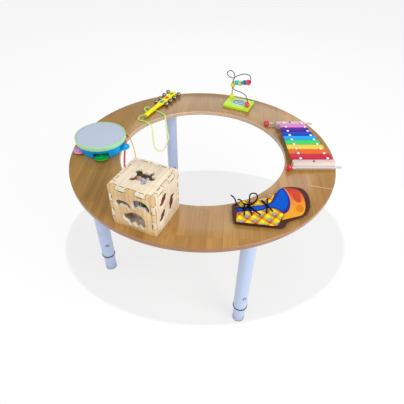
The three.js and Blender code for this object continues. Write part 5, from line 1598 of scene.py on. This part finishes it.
def silhouette(name, ovals, shares, bottom, thickness, edge=0):
    width, height, x, y = [share * cubeSide for share in shares]
    plates = []
    for middleX, middleY, halfX, halfY in ovals:
        outline = [(x + (middleX + halfX * c) * width, y + (middleY + halfY * s) * height)
                   for c, s in arc(0, 0, 1, 0, 348.75, 31)]
        plates.append(platePiece(name, outline, bottom, thickness))
    whole = fuse(plates[0], *plates[1:])
    return roundEdges(whole, edge, 2, 50) if edge else whole


def cutShapes(piece, cuts, bottom, thickness, material):
    # cuts the animals' outlines and gives their cut walls the material
    for ovals, *shares in cuts:
        cutter = silhouette("shapeCut", ovals, shares, bottom, thickness)
        cutter.data.materials.append(material)
        cutAway(piece, cutter)
    return roundEdges(piece, cube["edge"], 2, 50)


def lidTabs():
    # where the lid's tabs start and end along a side
    return [[share * cubeSide - cubeHalf for share in tab] for tab in cube["lidTabs"]]


def wallOutline(tabs):
    # a wall seen from outside: fingers down both sides, notches for the lid's tabs along the top
    play = cube["play"]
    bottom, top, notch = cube["bottom"], cubeTop, cubeTop - cube["wall"]
    side = []
    for start, end in tabs:
        low, high = bottom + start * (top - bottom), bottom + end * (top - bottom)
        low, high = (low + play if start else low), (high - play if end < 1 else high)
        side += [(cubeInner - play, low), (cubeHalf, low), (cubeHalf, high), (cubeInner - play, high)]
    if tabs[0][0] == 0:
        side = side[1:]
    else:
        side = [(cubeInner - play, bottom)] + side
    reach = cubeHalf if tabs[-1][1] == 1 else cubeInner - play
    side = side[:-1] if tabs[-1][1] == 1 else side + [(reach, top)]
    crown = []
    for low, high in reversed(lidTabs()):
        crown += [(high + play, top), (high + play, notch), (low - play, notch), (low - play, top)]
    return side + crown + [(-x, z) for x, z in reversed(side)]


def burnJoints(piece, pine, level, middleY):
    # burns the cut sides of the fingers and notches brown, and a narrow line along them where two
    # boards meet on the outer face. The brown is partly the burn of a laser cut and partly painted shade in
    # the gaps
    piece.data.materials.append(pine)
    piece.data.materials.append(burntEdge)
    for face in piece.data.polygons:
        middle = face.center / mm
        if abs(face.normal.z) < 0.5 and max(abs(middle.x), abs(middle.y - middleY)) < cubeRim:
            face.material_index = 1
    startEdit()
    bpy.ops.mesh.select_mode(type="EDGE")
    bpy.ops.mesh.select_all(action="DESELECT")
    endEdit()
    for edge in piece.data.edges:
        ends = [piece.data.vertices[number].co / mm for number in edge.vertices]
        middle = (ends[0] + ends[1]) / 2
        outer = min(end.z for end in ends) > level - 0.01
        edge.select = outer and max(abs(middle.x), abs(middle.y - middleY)) < cubeRim
    startEdit()
    bpy.ops.mesh.bevel(offset=cube["edgeLineWidth"] * mm, segments=1, affect="EDGES", material=1)
    bpy.ops.mesh.select_mode(type="VERT")
    endEdit()


def makeWall(name, tabs, turn):
    wall = platePiece("cube." + name, wallOutline(tabs), cubeInner, cube["wall"])
    burnJoints(wall, pineMaterial("pine_" + name, pineTurns[name]), cubeHalf, cube["bottom"] + cubeHalf)
    # the right wall's cut walls are dark brown, partly as the burn of a laser cut and partly as painted
    # shade for the dim inside seen through its holes
    cutShapes(wall, shapeCuts[name], cubeInner - 3, 20, brownCut if name == "right" else paleCut)
    return settle(wall, turn=(90, 0, turn))


def makeLid():
    reach = cubeInner - cube["play"]
    outline = []
    for side in range(4):
        for low, high in lidTabs():
            for x, y in ((low, -reach), (low, -cubeHalf), (high, -cubeHalf), (high, -reach)):
                outline.append(spinXY(x, y, 90 * side))
        outline.append(spinXY(reach, -reach, 90 * side))
    lid = platePiece("cube.lid", outline, cubeTop - cube["wall"] + 0.3, cube["wall"] - 0.3)
    burnJoints(lid, pineMaterial("pineLid", (0, 0, 90)), cubeTop, 0)
    return cutShapes(lid, shapeCuts["lid"], 130, 30, paleCut)


def pineMaterial(name, turn):
    # painted shade: the front wall gets a darker, yellower copy of the pine, for the face that gets less
    # light
    look = {**cube["pine"], **cube["pineFront"]} if name == "pine_front" else cube["pine"]
    return woodMaterial(name, look, onRing(cubePlace, 9, 5, 3), turn)


pineTurns = {"front": (90, -90, 0), "back": (90, -90, 0), "right": (0, -90, 0), "left": (0, -90, 0)}
burntEdge = paintMaterial("burntEdge", cube["burntAndShaded"])
paleCut = paintMaterial("paleCut", cube["cut"])
brownCut = paintMaterial("brownCut", cube["brownCut"])
wallTurns = {"front": 0, "right": 90, "back": 180, "left": 270}
for name, turn in wallTurns.items():
    tabs = cube["cornerTabs"] if name in ("front", "back") else cube["sideTabs"]
    wall = standOn(makeWall(name, tabs, turn), cubePlace)
    finishPiece(wall, "cube", None, ["cube_body"])
floorHalf, floorTop = cubeInner - 0.2, cube["bottom"] + cube["wall"]
cubeFloor = boxPiece("cube.floor", (-floorHalf, -floorHalf, cube["bottom"]),
                     (floorHalf, floorHalf, floorTop), 0.4, 2)
floorPine = pineMaterial("pineFloor", (0, 0, 0))
finishPiece(standOn(cubeFloor, cubePlace), "cube", floorPine, ["cube_body"])
finishPiece(standOn(makeLid(), cubePlace), "lid", None, ["cube_lid"])

# Green dashes are printed along the edges, as (face, across, up, upright or not).
dashes = {
    "front": [(-30, 137, 0), (30, 137, 0), (-66, 108, 1), (-66, 58, 1), (66, 92, 1), (66, 42, 1),
    (-8, 6, 0)],
    "right": [(-30, 137, 0), (34, 137, 0), (-66, 100, 1), (-66, 48, 1), (66, 100, 1), (66, 40, 1),
    (-52, 8, 0)],
    "back": [(-30, 137, 0), (30, 137, 0), (66, 96, 1), (-66, 50, 1)],
    "left": [(-30, 137, 0), (30, 137, 0), (66, 96, 1), (-66, 50, 1)]}
dashMaterial = paintMaterial("dashGreen", cube["dash"])


def dashPlate(x, y, halfAcross, halfUp, level, turn):
    outline = roundedBox(x - halfAcross, x + halfAcross, y - halfUp, y + halfUp, 0.6, 2)
    return settle(platePiece("dash", outline, level, 0.08), turn=turn)


made = []
for name, spots in dashes.items():
    for x, y, upright in spots:
        half = (1.3, 7.5) if upright else (8.5, 1.3)
        made.append(dashPlate(x, y, *half, cubeHalf, (90, 0, wallTurns[name])))
finishPiece(standOn(joinPieces("cubeDashes", made), cubePlace), "cube", dashMaterial)
made = []
for side in range(4):
    for x in (-31, 33):
        made.append(dashPlate(x, -66.4, 8.5, 1.4, cubeTop, (0, 0, 90 * side)))
finishPiece(standOn(joinPieces("lidDashes", made), cubePlace), "lid", dashMaterial)

# The blocks lie on each other. Each has two tones on top, two on its front and one on its right,
# and the place across it where the tones change.
sorterBlocks = (
    ("purple", hedgehog, (0.47, 0.282, -0.081, -0.134), 0.322, -8,
     (186, 166, 192), (170, 150, 180), (232, 214, 226), (226, 216, 226), (214, 92, 196)),
    ("green", hedgehog, (0.47, 0.282, -0.067, -0.148), 0.201, 18,
     (168, 140, 150), (70, 130, 60), (196, 176, 206), (50, 128, 46), (54, 122, 50)),
    ("grey", turtle, (0.362, 0.309, -0.027, -0.054), 0.322, -8,
     (190, 150, 122), (196, 194, 206), (208, 166, 138), (72, 118, 60), (168, 80, 72)))


def blockMaterial(name, x, changeAt, topLeft, topRight, left, right, side):
    material, tree, shader = newMaterial(name, {"specular": 0.3})
    own = patternSpace(tree, onRing(cubePlace, x))
    facing = axes(tree, node(tree, "ShaderNodeNewGeometry").outputs["Normal"])
    across = axes(tree, own)[0]
    change = spread(tree, across, (changeAt - 1) * mm, (changeAt + 2) * mm)
    front = mixed(tree, change, screen(*left), screen(*right))
    outside = spread(tree, across, 0.012, 0.016)
    outside = count(tree, "MULTIPLY", spread(tree, facing[0], 0.75, 0.85), outside)
    sides = mixed(tree, outside, front, screen(*side))
    top = mixed(tree, change, screen(*topLeft), screen(*topRight))
    colour = mixed(tree, spread(tree, facing[2], 0.6, 0.8), sides, top)
    lines = spread(tree, noise(tree, own, 110.0, 2, 0.5, 1.5), 0.54, 0.58)
    colour = mixed(tree, count(tree, "MULTIPLY", lines, 0.55), colour, screen(62, 54, 66))
    paintOver(tree, shader, own, colour, {"patch": 80.0, "change": 0.1, "scuff": 0.1, "bump": 0.1})
    return material


blockGap = 0.6
level = floorTop + blockGap / 2
for blockName, ovals, shares, thick, changeAt, *paints in sorterBlocks:
    block = silhouette("sorter." + blockName, ovals, shares, level, thick * cubeSide, 1.2)
    look = blockMaterial("sorter_" + blockName, shares[2] * cubeSide, changeAt, *paints)
    finishPiece(standOn(block, cubePlace), "block_" + blockName, look,
                ["sorter_block_" + blockName])
    level += thick * cubeSide + blockGap
print("sorting cube")


# Colour view

bpy.context.scene.view_settings.view_transform = "Standard"
